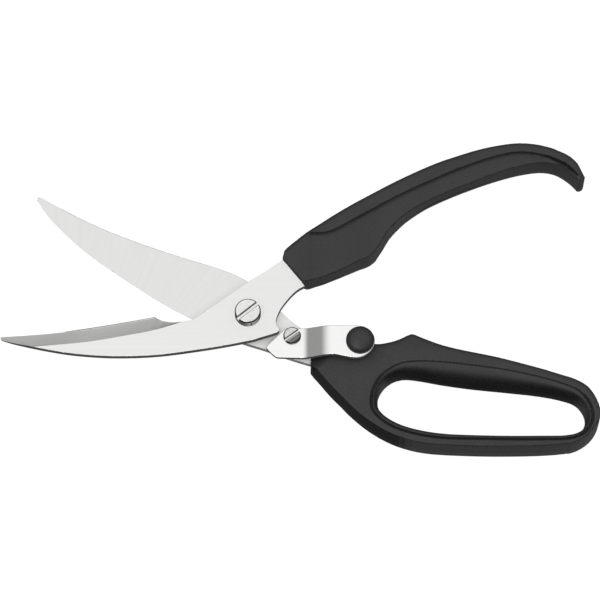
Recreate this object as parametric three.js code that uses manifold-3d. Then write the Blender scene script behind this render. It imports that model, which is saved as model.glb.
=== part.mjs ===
// Poultry shears: two curved blades on a pivot screw, a hooked upper handle, a lower handle with a
// finger loop, a hidden opening spring and a swinging latch that holds the blades shut.
//
// Frame: millimetres, +Z up. The origin is on the pivot axis, in the plane the shears lie on, which is
// also the flat back of the pivot nut. +X runs from the blades towards the handles. The shears are
// modelled open.

import * as THREE from "three";
import { mergeVertices } from "three/addons/utils/BufferGeometryUtils.js";
import Module from "manifold-3d";

// Driving dimensions
const BLADE_THICKNESS = 3;
const SLIDE_PLANE = 7; // height of the plane the two blades slide on
const SLIDE_CLEARANCE = 0.05; // each blade stops this far from the slide plane
const EDGE_THICKNESS = 0.3; // of the ground cutting edges
const FIT_GAP = 0.3; // between moulded handles and the tangs they hold
const SEAT_GAP = 0.05; // between screwed or riveted pieces that sit on each other
const LOWER_HANDLE_HEIGHT = 12.5;
const UPPER_HANDLE_HEIGHT = 12.8;
const HANDLE_CHAMFER = 0.5;
const TANG_HOLE_RADIUS = 2.6; // the moulded handle fills these holes and is held by them

const PIVOT_SHANK_RADIUS = 3;
const PIVOT_HEAD_RADIUS = 5.4;
const PIVOT_HEAD_TOP = 14.5;
const PIVOT_SLOT_ANGLE = 39.5; // degrees from +X
const NUT_RADIUS = 6;
const NUT_FLOOR = 1.2; // thickness of the closed back of the nut
const RUNNING_CLEARANCE = 0.07; // radial, where a piece turns on a shank
const SCREWED_CLEARANCE = 0.05; // radial, where a shank is screwed or pressed in

const SPRING_TRACK_RADIUS = 8.5; // of the arc the opening spring lies along
const SPRING_POCKET_ANGLES = [145, 220];
const SPRING_POCKET_WIDTH = 3;
const SPRING_POCKET_DEPTH = 1.45;
const SPRING_COIL_RADIUS = 1;
const SPRING_WIRE_RADIUS = 0.26;
const SPRING_TURNS = 8;
const SPRING_END_MARGIN = 3; // degrees between the spring and each end of its pocket

const STOP_PIN_RADIUS = 1.2;
const STOP_PIN_TRACK_RADIUS = 8.8;
const STOP_PIN_ANGLE = -70;
const STOP_SLOT_SPAN = 38; // degrees, a little more than the blades turn between open and closed
const STOP_SLOT_START = -0.5; // degrees from the pin, which stands near this end when the shears are open
const STOP_SLOT_PLAY = 0.3; // how much wider the slot is than the pin
const STOP_SLOT_DEPTH = 1.7;

const LATCH_X = 18.4;
const LATCH_Y = -9.5;
const LATCH_SHANK_RADIUS = 2;
const LATCH_HEAD_RADIUS = 3.65;
const LATCH_HEAD_HEIGHT = 1.85;
const LATCH_SLOT_ANGLE = 36.5;
const LEVER_THICKNESS = 1.8;
const LEVER_LOW = 7.4; // underside of the part beside the front blade
const LEVER_HIGH = 13.2; // underside of the part over the lower handle
const LEVER_JOG_START = 24.1;
const LEVER_JOG_END = 32.5;
const LEVER_LOW_BEND = 1.5; // half the length of the bend at the foot of the jog
const LEVER_HIGH_BEND = 2.9; // half the length of the bend at its top
const RELIEF_OFFSET = 5.3; // the lower handle is cut back to its distance from the latch axis less this

const KNOB_X = 46.5;
const KNOB_Y = -13.6;
const KNOB_RADIUS = 5.85;
const KNOB_WALL = 1.3;
const KNOB_HEIGHT = 4;
const RIVET_RADIUS = 1.5;
const RIVET_HEAD_RADIUS = 2.5;
const RIVET_HEAD_RIM = 0.2; // height of the straight rim below the countersunk cone
const RIVET_REACH = 2; // how far the rivet goes up into the knob

const LOOP_BULGE_HEIGHT = 5.2; // height at which the walls of the finger loop stand out furthest

const CURVE_STEPS = 3; // segments to a span of an outline
const LOOP_POINTS = 66; // around the finger loop
const ROUND = 40; // sides of a large circle
const SMALL_ROUND = 28;
const OVERCUT = 1; // how far a cutting tool runs past the face it cuts

const wasm = await Module();
wasm.setup();

// Materials

const steel = (shade, roughness) =>
  new THREE.MeshStandardMaterial({ color: shade, metalness: 1, roughness });
const plastic = (shade) =>
  new THREE.MeshStandardMaterial({ color: shade, metalness: 0, roughness: 0.55 });

const bladeSteel = () => steel(0xd6d6d3, 0.3);
const screwSteel = () => steel(0xc9c9c6, 0.25);
const sheetSteel = () => steel(0xe0e0de, 0.22);
const springSteel = () => steel(0xa8a8a4, 0.35);
const blackPlastic = () => plastic(0x1b1b1c);

// Geometry helpers

// A closed mesh as a solid that can be cut and joined.
function solid(geometry) {
  const bare = geometry.clone();
  bare.deleteAttribute("normal");
  bare.deleteAttribute("uv");
  const merged = mergeVertices(bare, 1e-4);
  const mesh = new wasm.Mesh({
    numProp: 3,
    vertProperties: merged.attributes.position.array,
    triVerts: new Uint32Array(merged.index.array),
  });
  return new wasm.Manifold(mesh);
}

function geometryOf(body) {
  const mesh = body.getMesh();
  const geometry = new THREE.BufferGeometry();
  geometry.setAttribute("position", new THREE.BufferAttribute(mesh.vertProperties, 3));
  geometry.setIndex(new THREE.BufferAttribute(mesh.triVerts, 1));
  geometry.computeVertexNormals();
  return geometry;
}

function named(name, body, material) {
  const mesh = new THREE.Mesh(geometryOf(body), material);
  mesh.name = name;
  return mesh;
}

// A closed outline. Each run goes on from the last point of the run before it: a run of one point is a
// straight line, and a longer one is a smooth curve through its points. There is a corner between runs.
function outline(start, ...runs) {
  const shape = new THREE.Shape();
  shape.moveTo(...start);
  for (const run of runs) {
    if (run.length === 1) shape.lineTo(...run[0]);
    else shape.splineThru(run.map(([x, y]) => new THREE.Vector2(x, y)));
  }
  return shape;
}

const polygon = (points) => outline(points[0], ...points.slice(1).map((point) => [point]));

function plate(shape, bottom, top) {
  const geometry = new THREE.ExtrudeGeometry(shape, {
    depth: top - bottom,
    bevelEnabled: false,
    curveSegments: CURVE_STEPS,
  });
  return solid(geometry.translate(0, 0, bottom));
}

// A plate with both of its edges chamfered inwards.
function chamferedPlate(shape, bottom, top, size) {
  const geometry = new THREE.ExtrudeGeometry(shape, {
    depth: top - bottom - 2 * size,
    bevelSize: size,
    bevelOffset: -size,
    bevelThickness: size,
    bevelSegments: 1,
    curveSegments: CURVE_STEPS,
  });
  return solid(geometry.translate(0, 0, bottom + size));
}

function rod(x, y, radius, bottom, top, sides = SMALL_ROUND) {
  const geometry = new THREE.CylinderGeometry(radius, radius, top - bottom, sides);
  return solid(geometry.rotateX(Math.PI / 2).translate(x, y, (top + bottom) / 2));
}

// A solid turned about a vertical axis at x, y, from a profile of [radius, height] points that starts
// and ends on the axis and runs upwards on its outside.
function turned(x, y, profile, sides = ROUND) {
  const points = profile.map(([radius, height]) => new THREE.Vector2(radius, height));
  const geometry = new THREE.LatheGeometry(points, sides);
  return solid(geometry.rotateX(Math.PI / 2).translate(x, y, 0));
}

// A box of the given length and width, centred on x, y and turned by an angle in degrees.
function bar(x, y, length, width, bottom, top, angle = 0) {
  const geometry = new THREE.BoxGeometry(length, width, top - bottom);
  geometry.rotateZ(THREE.MathUtils.degToRad(angle));
  return solid(geometry.translate(x, y, (top + bottom) / 2));
}

const polar = (radius, degrees) => {
  const angle = THREE.MathUtils.degToRad(degrees);
  return [radius * Math.cos(angle), radius * Math.sin(angle)];
};

// A slot with round ends that runs along an arc about the pivot, between two angles in degrees.
function arcSlot(radius, width, from, to, bottom, top) {
  const end = width / 2;
  const steps = 12;
  const angles = Array.from({ length: steps + 1 }, (_, i) => from + ((to - from) * i) / steps);
  const along = (reach) => angles.map((angle) => polar(reach, angle));
  const shape = polygon([...along(radius + end), ...along(radius - end).reverse()]);
  const roundEnd = (angle) => rod(...polar(radius, angle), end, bottom, top);
  return plate(shape, bottom, top).add(roundEnd(from)).add(roundEnd(to));
}

// The points of a polygon moved outwards by a distance. The polygon runs anticlockwise.
function grown(points, distance) {
  const count = points.length;
  return points.map((point, i) => {
    const before = new THREE.Vector2(...points[(i + count - 1) % count]);
    const after = new THREE.Vector2(...points[(i + 1) % count]);
    const here = new THREE.Vector2(...point);
    const into = here.clone().sub(before).normalize();
    const out = after.sub(here).normalize();
    const miter = new THREE.Vector2(into.y + out.y, -into.x - out.x);
    const scale = (2 * distance) / miter.lengthSq();
    return [here.x + miter.x * scale, here.y + miter.y * scale];
  });
}

// A closed solid skinned over a row of loops. The loops have the same number of points each.
function skin(loops) {
  const count = loops[0].length;
  const points = loops.flat();
  const index = [];
  for (let i = 0; i + 1 < loops.length; i++) {
    for (let j = 0; j < count; j++) {
      const a = i * count + j;
      const b = i * count + ((j + 1) % count);
      index.push(a, b, b + count, a, b + count, a + count);
    }
  }
  const cap = (first, step) => {
    const centre = new THREE.Vector3();
    for (let j = 0; j < count; j++) centre.addScaledVector(points[first + j], 1 / count);
    const middle = points.push(centre) - 1;
    for (let j = 0; j < count; j++) {
      const ends = [first + j, first + ((j + 1) % count)];
      if (step < 0) ends.reverse();
      index.push(middle, ...ends);
    }
  };
  cap(0, -1);
  cap((loops.length - 1) * count, 1);
  return solid(new THREE.BufferGeometry().setFromPoints(points).setIndex(index));
}

// The tool that grinds a cutting bevel: it takes off what lies between a sloping face and the blade's
// own face. The sloping face runs from the shoulder line, at faceZ, to the edge line, at edgeZ.
function bevelTool(shoulder, edge, faceZ, edgeZ) {
  const sections = 20;
  const reach = 6; // of the tool beyond the cutting edge
  const side = Math.sign(faceZ - edgeZ);
  const curveOf = (points) => new THREE.SplineCurve(points.map(([x, y]) => new THREE.Vector2(x, y)));
  const shoulderPoints = curveOf(shoulder).getPoints(sections);
  const edgePoints = curveOf(edge).getPoints(sections);
  const loops = shoulderPoints.map((inner, i) => {
    const outer = edgePoints[i];
    const away = outer.clone().sub(inner).setLength(reach).add(outer);
    const beyond = faceZ + side * OVERCUT;
    return [
      new THREE.Vector3(inner.x, inner.y, faceZ),
      new THREE.Vector3(outer.x, outer.y, edgeZ),
      new THREE.Vector3(away.x, away.y, edgeZ),
      new THREE.Vector3(away.x, away.y, beyond),
      new THREE.Vector3(inner.x, inner.y, beyond),
    ];
  });
  const tool = skin(loops);
  return tool.volume() > 0 ? tool : skin(loops.reverse());
}

// Front blade, seen from above: its cutting edge is the upper one.

const FRONT_BACK_EDGE = [
  [-96.3, -13], [-83.5, -15.8], [-70.8, -17.6], [-55, -18.4], [-37, -17.6], [-18, -14.8],
  [-3.2, -12.1], [5, -10.3], [12.2, -8],
];
const FRONT_LATCH_NOTCH = [
  [12.2, -5.3], [11.85, -4.4], [11.65, -3.4], [11.8, -2.2], [12.4, -0.2], [13.4, 2.1],
];
const FRONT_NECK_EDGE = [[14.9, 4.4], [16.7, 6.8], [18.7, 9.1], [20.9, 11.1], [23.66, 12.71]];
const FRONT_TANG = [
  [22.4, 14.3], [33, 20.8], [43, 26.8], [52, 36.5], [57, 43.5], [52, 45], [38, 37.5], [24, 29],
  [16, 22.5],
];
const FRONT_TANG_HOLES = [[29, 24.5], [43, 34]];
const FRONT_TOP_EDGE = [[7, 19.1], [0.2, 14.6], [-4.9, 10.9], [-11.5, 6], [-18.2, 1]];
const FRONT_EDGE_NOTCH = [
  [-21, -1], [-23.6, -2.5], [-27, -3.15], [-31, -3.3], [-34.6, -2.85], [-37, -1.8], [-38.9, -0.4],
];
const FRONT_CUTTING_EDGE = [
  [-46.9, -2], [-53.2, -3.2], [-64.9, -5.2], [-77.6, -7.1], [-90.3, -8.1], [-102.9, -8.8],
];
const FRONT_BEVEL_EDGE = [
  [-105, -8.9], [-90.3, -8.1], [-77.6, -7.1], [-64.9, -5.2], [-53.2, -3.2], [-38.9, -0.7], [-26.5, 1.6],
];
const FRONT_BEVEL_SHOULDER = [
  [-105, -15.4], [-90.3, -14.4], [-77.3, -13.3], [-64.6, -11.9], [-53, -9.8], [-38.5, -6.9], [-26.5, -3],
];

// Rear blade: its cutting edge is the lower one.

const REAR_CUTTING_EDGE = [
  [-84.5, 45.9], [-77.9, 38.5], [-70.4, 31.3], [-62.3, 24.7], [-52.6, 17.7], [-42.9, 11], [-33, 4.6],
  [-22.8, -1],
];
const REAR_LOWER_EDGE = [[-12, -6.6], [-0.5, -11.8], [8.3, -15], [17.1, -18.4], [26.3, -21.4]];
const REAR_TANG = [
  [26.35, -19.9], [30.5, -22.8], [35.5, -27.2], [41.5, -32.8], [45.5, -34], [46.8, -30], [46.8, -20.5],
  [40, -16], [33.5, -13.4], [28.3, -11.8],
];
const REAR_TANG_HOLES = [[34.5, -19.5], [41.5, -25]];
const REAR_SPINE = [
  [25.3, -7.3], [20, -3.4], [15.8, 0.2], [13, 3.4], [9.6, 7.2], [5.2, 11.4], [0.2, 15.7],
];
const REAR_BACK_EDGE = [
  [-7.8, 19.5], [-15.8, 22.5], [-25, 25.4], [-35.9, 29.2], [-48, 33.7], [-64.2, 40.6], [-78.9, 48.5],
  [-87.6, 53.6],
];
const REAR_BEVEL_EDGE = [
  [-91.5, 56.5], [-84.5, 45.9], [-77.9, 38.5], [-70.4, 31.3], [-62.3, 24.7], [-52.6, 17.7],
  [-42.9, 11], [-33, 4.6], [-23.5, -1.4], [-14, -9.5],
];
const REAR_BEVEL_SHOULDER = [
  [-84.5, 58], [-79.5, 49.6], [-72.8, 42.6], [-65.6, 35.8], [-58, 29.8], [-48.8, 23], [-39.2, 16.4],
  [-29.5, 10], [-21, 3], [-13.5, -6.8],
];

// Upper handle, anticlockwise from the lower corner where the front blade leaves it.

const UPPER_INNER_EDGE = [[26.8, 13.7], [34.8, 17.6], [45.7, 21.9], [50.6, 23.9], [53.5, 26.3]];
const UPPER_INNER_CURVE = [
  [55.9, 30.9], [59.4, 37.5], [64.8, 43], [70.3, 46.7], [77.7, 50.6], [86.8, 54.8], [96, 58.6],
  [105.2, 62.3], [114.4, 65.2], [123.5, 66.8], [130, 65.8], [135.2, 62.4], [138.3, 59.2],
];
const HOOK_TIP = [[139.2, 58.3], [141, 58.7], [141.5, 60.5]];
const UPPER_OUTER_EDGE = [
  [140, 63.4], [137.4, 67.8], [132.6, 72], [124, 75.5], [114.7, 76.6], [105.5, 75.5], [96.3, 73.3],
  [87.1, 70.1], [77.9, 66.4], [68.7, 62.1], [59.5, 57.4], [50.4, 52.1], [41.2, 46.6], [32.1, 40.9],
  [25, 36.2], [18.4, 31.1],
];
const UPPER_HEEL = [[15.4, 28.1], [14.7, 24.6]];

// Where the upper handle's pocket opens towards the blade.
const UPPER_MOUTH = [[24.2, 15.2], [18, 23.6], [12, 20], [20, 10]];

// Lower handle, anticlockwise from the lower corner where the rear blade leaves it.

const LOWER_OUTER_EDGE = [
  [29.6, -27.4], [34.8, -34], [42.4, -41.5], [50, -48], [58.4, -53.2], [66.9, -56.4], [76.4, -58.1],
  [91.5, -58.9], [105, -59.1], [119.9, -58.8], [131.2, -57.7], [137.6, -55], [142.4, -50.3],
  [144.8, -44], [143.7, -37.4], [140.4, -32.3], [135.1, -29.4], [129.4, -27.6], [120, -24.9],
  [110.6, -22.2], [101.2, -19.7], [88, -16.8], [79.4, -14.3], [72.8, -11.5], [69.6, -9.9],
];
const THUMB_REST_PEAK = [[68.1, -9.4], [66.5, -9.9]];
const THUMB_REST = [[62.4, -12], [57.6, -13.5], [52.6, -14.1], [43, -12.9], [35.5, -10.6], [29.6, -8.2]];
const LOWER_END_CORNER = [26.5, -19.8];

// Finger loop: its edge on the two faces of the handle, and where its walls stand out furthest between
// them.

const LOOP_FACE_EDGE = [
  [53, -39.5], [53.8, -34.5], [56.6, -29.4], [60.9, -25.9], [65.7, -24], [72.7, -23.5], [82, -24],
  [91.6, -25.1], [105.8, -27.2], [119.9, -30.4], [129, -33.2], [135.5, -36.4], [139.1, -41.4],
  [139.7, -45.9], [137.9, -50.7], [133.5, -53.2], [119.3, -53.9], [95.3, -53.7], [77, -53],
  [63.8, -49.8], [56.8, -45.6], [53.7, -42.2],
];
const LOOP_BULGE_EDGE = [
  [53.8, -39.2], [54.2, -34.4], [56.5, -30.4], [60.1, -27.7], [64.6, -26.8], [70.5, -27.5],
  [80, -29.4], [91.8, -31.2], [106, -32.7], [119.8, -34.2], [129.2, -35.9], [135.8, -38.3],
  [138.7, -42.6], [139, -46.5], [137.3, -50.3], [133, -52.1], [119.5, -52.6], [95, -52.4],
  [77.2, -51.2], [64.8, -48.3], [57.7, -44.6], [54.6, -41.5],
];

// Latch lever, anticlockwise from its nose.

const LEVER_NOSE = [[7.75, -14.4], [8.2, -15.2]];
const LEVER_LOWER_CORNER = [[10.1, -17.2], [11.6, -18.4], [13, -18.8]];
const LEVER_KNOB_END = [
  [36.5, -19.4], [40.2, -20.2], [43.6, -20.8], [46.4, -20.7], [49, -19.5], [51.2, -17.4], [52.5, -14.7],
  [52.4, -11.8], [50.9, -9.1], [48.4, -7.3], [45.4, -6.7],
];
const LEVER_UPPER_CORNER = [[15.6, -6.1], [14.5, -7]];

const frontBottom = SLIDE_PLANE + SLIDE_CLEARANCE;
const frontTop = SLIDE_PLANE + BLADE_THICKNESS;
const rearTop = SLIDE_PLANE - SLIDE_CLEARANCE;
const rearBottom = SLIDE_PLANE - BLADE_THICKNESS;

const springPocket = (bottom, top) =>
  arcSlot(SPRING_TRACK_RADIUS, SPRING_POCKET_WIDTH, ...SPRING_POCKET_ANGLES, bottom, top);

function drilled(body, holes, radius, bottom, top) {
  const drill = ([x, y]) => rod(x, y, radius, bottom - OVERCUT, top + OVERCUT);
  return holes.reduce((left, hole) => left.subtract(drill(hole)), body);
}

function frontBlade() {
  const shape = outline(
    [-102.9, -8.8],
    [[-103.2, -10]],
    [[-102.1, -11.2]],
    FRONT_BACK_EDGE,
    [[13, -7.1], [12.95, -6]],
    FRONT_LATCH_NOTCH,
    FRONT_NECK_EDGE,
    ...FRONT_TANG.map((point) => [point]),
    [[14.46, 24.41]],
    FRONT_TOP_EDGE,
    FRONT_EDGE_NOTCH,
    FRONT_CUTTING_EDGE,
  );
  const stopFrom = STOP_PIN_ANGLE + STOP_SLOT_START;
  const stopSlot = arcSlot(
    STOP_PIN_TRACK_RADIUS,
    2 * STOP_PIN_RADIUS + STOP_SLOT_PLAY,
    stopFrom,
    stopFrom + STOP_SLOT_SPAN,
    frontBottom - OVERCUT,
    frontBottom + STOP_SLOT_DEPTH,
  );
  const bevel = bevelTool(FRONT_BEVEL_SHOULDER, FRONT_BEVEL_EDGE, frontTop, frontBottom + EDGE_THICKNESS);
  const bore = rod(0, 0, PIVOT_SHANK_RADIUS + RUNNING_CLEARANCE, 0, frontTop + OVERCUT, ROUND);
  const blank = plate(shape, frontBottom, frontTop);
  return drilled(blank, FRONT_TANG_HOLES, TANG_HOLE_RADIUS, frontBottom, frontTop)
    .subtract(bevel)
    .subtract(bore)
    .subtract(springPocket(frontBottom - OVERCUT, SLIDE_PLANE + SPRING_POCKET_DEPTH))
    .subtract(stopSlot);
}

function rearBlade() {
  const shape = outline(
    [-88.9, 52.6],
    REAR_CUTTING_EDGE,
    REAR_LOWER_EDGE,
    ...REAR_TANG.map((point) => [point]),
    [[28.75, -9.9]],
    REAR_SPINE,
    REAR_BACK_EDGE,
    [[-88.7, 53.6]],
  );
  const bevel = bevelTool(REAR_BEVEL_SHOULDER, REAR_BEVEL_EDGE, rearBottom, rearTop - EDGE_THICKNESS);
  const [pinX, pinY] = polar(STOP_PIN_TRACK_RADIUS, STOP_PIN_ANGLE);
  const through = (x, y, radius, sides) => rod(x, y, radius, 0, rearTop + OVERCUT, sides);
  const blank = plate(shape, rearBottom, rearTop);
  return drilled(blank, REAR_TANG_HOLES, TANG_HOLE_RADIUS, rearBottom, rearTop)
    .subtract(bevel)
    .subtract(through(0, 0, PIVOT_SHANK_RADIUS + SCREWED_CLEARANCE, ROUND))
    .subtract(through(pinX, pinY, STOP_PIN_RADIUS + SCREWED_CLEARANCE))
    .subtract(through(LATCH_X, LATCH_Y, LATCH_SHANK_RADIUS + SCREWED_CLEARANCE))
    .subtract(springPocket(SLIDE_PLANE - SPRING_POCKET_DEPTH, rearTop + OVERCUT));
}

// The pocket that a moulded handle has for its tang, with the posts that fill the tang's holes.
function tangPocket(tang, holes, tangBottom, tangTop) {
  const bottom = tangBottom - FIT_GAP;
  const top = tangTop + FIT_GAP;
  const pocket = plate(polygon(grown(tang, FIT_GAP)), bottom, top);
  return drilled(pocket, holes, TANG_HOLE_RADIUS - FIT_GAP, bottom, top);
}

function upperHandle() {
  const shape = outline(
    [23.9, 12.9],
    UPPER_INNER_EDGE,
    UPPER_INNER_CURVE,
    HOOK_TIP,
    UPPER_OUTER_EDGE,
    UPPER_HEEL,
  );
  const mouth = plate(polygon(UPPER_MOUTH), frontBottom - FIT_GAP, frontTop + FIT_GAP);
  const body = chamferedPlate(shape, 0, UPPER_HANDLE_HEIGHT, HANDLE_CHAMFER);
  return body.subtract(tangPocket(FRONT_TANG, FRONT_TANG_HOLES, frontBottom, frontTop)).subtract(mouth);
}

// The finger loop as a solid to cut away: narrowest where its walls bulge, and widest at the two faces.
function loopTool() {
  const ring = (points) => {
    const closed = points.map(([x, y]) => new THREE.Vector3(x, y, 0)).reverse();
    const samples = new THREE.CatmullRomCurve3(closed, true).getPoints(LOOP_POINTS);
    return samples.slice(0, -1);
  };
  const faceRing = ring(LOOP_FACE_EDGE);
  const bulgeRing = ring(LOOP_BULGE_EDGE);
  const layer = (height, bulge) =>
    faceRing.map((point, i) => point.clone().lerp(bulgeRing[i], bulge).setZ(height));
  const loops = [layer(-OVERCUT, 0)];
  const steps = 3;
  const quarter = Math.PI / 2;
  for (let i = 0; i < 2 * steps + 1; i++) {
    const angle = (quarter * (i - steps)) / steps;
    const reach = i < steps ? LOOP_BULGE_HEIGHT : LOWER_HANDLE_HEIGHT - LOOP_BULGE_HEIGHT;
    loops.push(layer(LOOP_BULGE_HEIGHT + reach * Math.sin(angle), Math.cos(angle)));
  }
  loops.push(layer(LOWER_HANDLE_HEIGHT + OVERCUT, 0));
  return skin(loops);
}

// The cone that the lower handle is cut back to, so that the latch lever swings clear of it.
function latchRelief() {
  const bottom = SLIDE_PLANE + 2 * FIT_GAP;
  const top = LOWER_HANDLE_HEIGHT + OVERCUT;
  const profile = [[0, bottom], [bottom + RELIEF_OFFSET, bottom], [top + RELIEF_OFFSET, top], [0, top]];
  return turned(LATCH_X, LATCH_Y, profile);
}

function lowerHandle() {
  const shape = outline(
    [26.5, -22.9],
    LOWER_OUTER_EDGE,
    THUMB_REST_PEAK,
    THUMB_REST,
    [LOWER_END_CORNER],
  );
  const body = chamferedPlate(shape, 0, LOWER_HANDLE_HEIGHT, HANDLE_CHAMFER);
  return body
    .subtract(loopTool())
    .subtract(tangPocket(REAR_TANG, REAR_TANG_HOLES, rearBottom, rearTop))
    .subtract(latchRelief());
}

function slottedScrew(x, y, shankRadius, shankBottom, headRadius, headBottom, headTop, slot) {
  const chamfer = 0.4;
  const profile = [
    [0, shankBottom], [shankRadius - chamfer, shankBottom], [shankRadius, shankBottom + chamfer],
    [shankRadius, headBottom], [headRadius, headBottom], [headRadius, headTop - chamfer],
    [headRadius - chamfer, headTop], [0, headTop],
  ];
  const groove = bar(x, y, 3 * headRadius, slot.width, headTop - slot.depth, headTop + OVERCUT, slot.angle);
  return turned(x, y, profile).subtract(groove);
}

function pivotScrew() {
  const slot = { width: 1.4, depth: 1, angle: PIVOT_SLOT_ANGLE };
  const end = NUT_FLOOR + FIT_GAP;
  const seat = frontTop + SEAT_GAP;
  return slottedScrew(0, 0, PIVOT_SHANK_RADIUS, end, PIVOT_HEAD_RADIUS, seat, PIVOT_HEAD_TOP, slot);
}

function pivotNut() {
  const chamfer = 0.5;
  const top = rearBottom - SEAT_GAP;
  const spannerReach = 4.4; // of the two spanner holes from the axis
  const spannerRadius = 0.8;
  const spannerDepth = 0.9;
  const profile = [[0, 0], [NUT_RADIUS - chamfer, 0], [NUT_RADIUS, chamfer], [NUT_RADIUS, top], [0, top]];
  const blank = turned(0, 0, profile);
  const bore = rod(0, 0, PIVOT_SHANK_RADIUS + SCREWED_CLEARANCE, NUT_FLOOR, top + OVERCUT, ROUND);
  const spannerHole = (x) => rod(x, 0, spannerRadius, -OVERCUT, spannerDepth, SMALL_ROUND / 2);
  return blank.subtract(bore).subtract(spannerHole(spannerReach)).subtract(spannerHole(-spannerReach));
}

function stopPin() {
  const [x, y] = polar(STOP_PIN_TRACK_RADIUS, STOP_PIN_ANGLE);
  return rod(x, y, STOP_PIN_RADIUS, rearBottom + SEAT_GAP, frontBottom + STOP_SLOT_DEPTH - FIT_GAP);
}

// A helix wound along an arc about the pivot, in the slide plane.
class SpringPath extends THREE.Curve {
  getPoint(t, target = new THREE.Vector3()) {
    const [from, to] = SPRING_POCKET_ANGLES;
    const along = THREE.MathUtils.lerp(from + SPRING_END_MARGIN, to - SPRING_END_MARGIN, t);
    const turn = t * SPRING_TURNS * 2 * Math.PI;
    const [x, y] = polar(SPRING_TRACK_RADIUS + SPRING_COIL_RADIUS * Math.cos(turn), along);
    return target.set(x, y, SLIDE_PLANE + SPRING_COIL_RADIUS * Math.sin(turn));
  }
}

function openingSpring() {
  const stepsPerTurn = 8;
  const wire = new THREE.Shape();
  wire.absarc(0, 0, SPRING_WIRE_RADIUS, 0, 2 * Math.PI);
  const geometry = new THREE.ExtrudeGeometry(wire, {
    extrudePath: new SpringPath(),
    steps: SPRING_TURNS * stepsPerTurn,
    curveSegments: CURVE_STEPS,
  });
  return solid(geometry);
}

// The side view of the lever's sheet: low beside the blades, a sloping jog, and high over the handle.
function leverProfile() {
  const run = LEVER_JOG_END - LEVER_JOG_START;
  const slope = (LEVER_HIGH - LEVER_LOW) / run;
  const shift = LEVER_THICKNESS * (Math.hypot(1, slope) - 1) / slope; // of the lower bends, to the right
  const lowTop = LEVER_LOW + LEVER_THICKNESS;
  const top = LEVER_HIGH + LEVER_THICKNESS;
  const left = 0;
  const right = KNOB_X + 3 * KNOB_RADIUS; // clear of both ends of the lever
  const bend = (shape, x, z, before, after, half) => {
    shape.lineTo(x - half * before[0], z - half * before[1]);
    shape.quadraticCurveTo(x, z, x + half * after[0], z + half * after[1]);
  };
  const flat = [1, 0];
  const rising = [1 / Math.hypot(1, slope), slope / Math.hypot(1, slope)];
  const back = ([x, z]) => [-x, -z];
  const shape = new THREE.Shape();
  shape.moveTo(left, LEVER_LOW);
  bend(shape, LEVER_JOG_START + shift, LEVER_LOW, flat, rising, LEVER_LOW_BEND);
  bend(shape, LEVER_JOG_END + shift, LEVER_HIGH, rising, flat, LEVER_HIGH_BEND);
  shape.lineTo(right, LEVER_HIGH);
  shape.lineTo(right, top);
  bend(shape, LEVER_JOG_END, top, back(flat), back(rising), LEVER_HIGH_BEND);
  bend(shape, LEVER_JOG_START, lowTop, back(rising), back(flat), LEVER_LOW_BEND);
  shape.lineTo(left, lowTop);
  return shape;
}

function latchLever() {
  const plan = outline(
    [8, -13.5],
    LEVER_NOSE,
    LEVER_LOWER_CORNER,
    [[32, -19.2]],
    LEVER_KNOB_END,
    [[32, -6.7]],
    [[23.5, -5.9]],
    [[16.6, -5.9]],
    LEVER_UPPER_CORNER,
  );
  const depth = 40; // more than the lever is wide
  const curveSegments = 5;
  const side = new THREE.ExtrudeGeometry(leverProfile(), { depth, bevelEnabled: false, curveSegments });
  const sheet = solid(side.rotateX(Math.PI / 2));
  const pivotHole = rod(LATCH_X, LATCH_Y, LATCH_SHANK_RADIUS + RUNNING_CLEARANCE, 0, PIVOT_HEAD_TOP);
  return plate(plan, 0, LEVER_HIGH + 2 * LEVER_THICKNESS)
    .intersect(sheet)
    .subtract(pivotHole)
    .subtract(rivetShape(SCREWED_CLEARANCE));
}

function latchScrew() {
  const slot = { width: 1, depth: 0.7, angle: LATCH_SLOT_ANGLE };
  const seat = LEVER_LOW + LEVER_THICKNESS + SEAT_GAP;
  return slottedScrew(
    LATCH_X, LATCH_Y, LATCH_SHANK_RADIUS, rearBottom, LATCH_HEAD_RADIUS, seat, seat + LATCH_HEAD_HEIGHT, slot,
  );
}

function latchWasher() {
  const bottom = rearTop + SEAT_GAP;
  const top = LEVER_LOW - SEAT_GAP;
  const hole = rod(LATCH_X, LATCH_Y, LATCH_SHANK_RADIUS + RUNNING_CLEARANCE, 0, PIVOT_HEAD_TOP);
  return rod(LATCH_X, LATCH_Y, LATCH_HEAD_RADIUS, bottom, top, SMALL_ROUND).subtract(hole);
}

// The knob's rivet, its countersunk head flush with the lever's underside. With a clearance, it is the
// hole for it.
function rivetShape(clearance) {
  const bottom = clearance ? LEVER_HIGH - OVERCUT : LEVER_HIGH + SEAT_GAP;
  const neck = LEVER_HIGH + RIVET_HEAD_RADIUS - RIVET_RADIUS;
  const top = LEVER_HIGH + LEVER_THICKNESS + RIVET_REACH + clearance;
  const profile = [
    [0, bottom],
    [RIVET_HEAD_RADIUS + clearance, bottom],
    [RIVET_HEAD_RADIUS + clearance, LEVER_HIGH + RIVET_HEAD_RIM],
    [RIVET_RADIUS + clearance, neck + clearance],
    [RIVET_RADIUS + clearance, top],
    [0, top],
  ];
  return turned(KNOB_X, KNOB_Y, profile, SMALL_ROUND);
}

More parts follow.
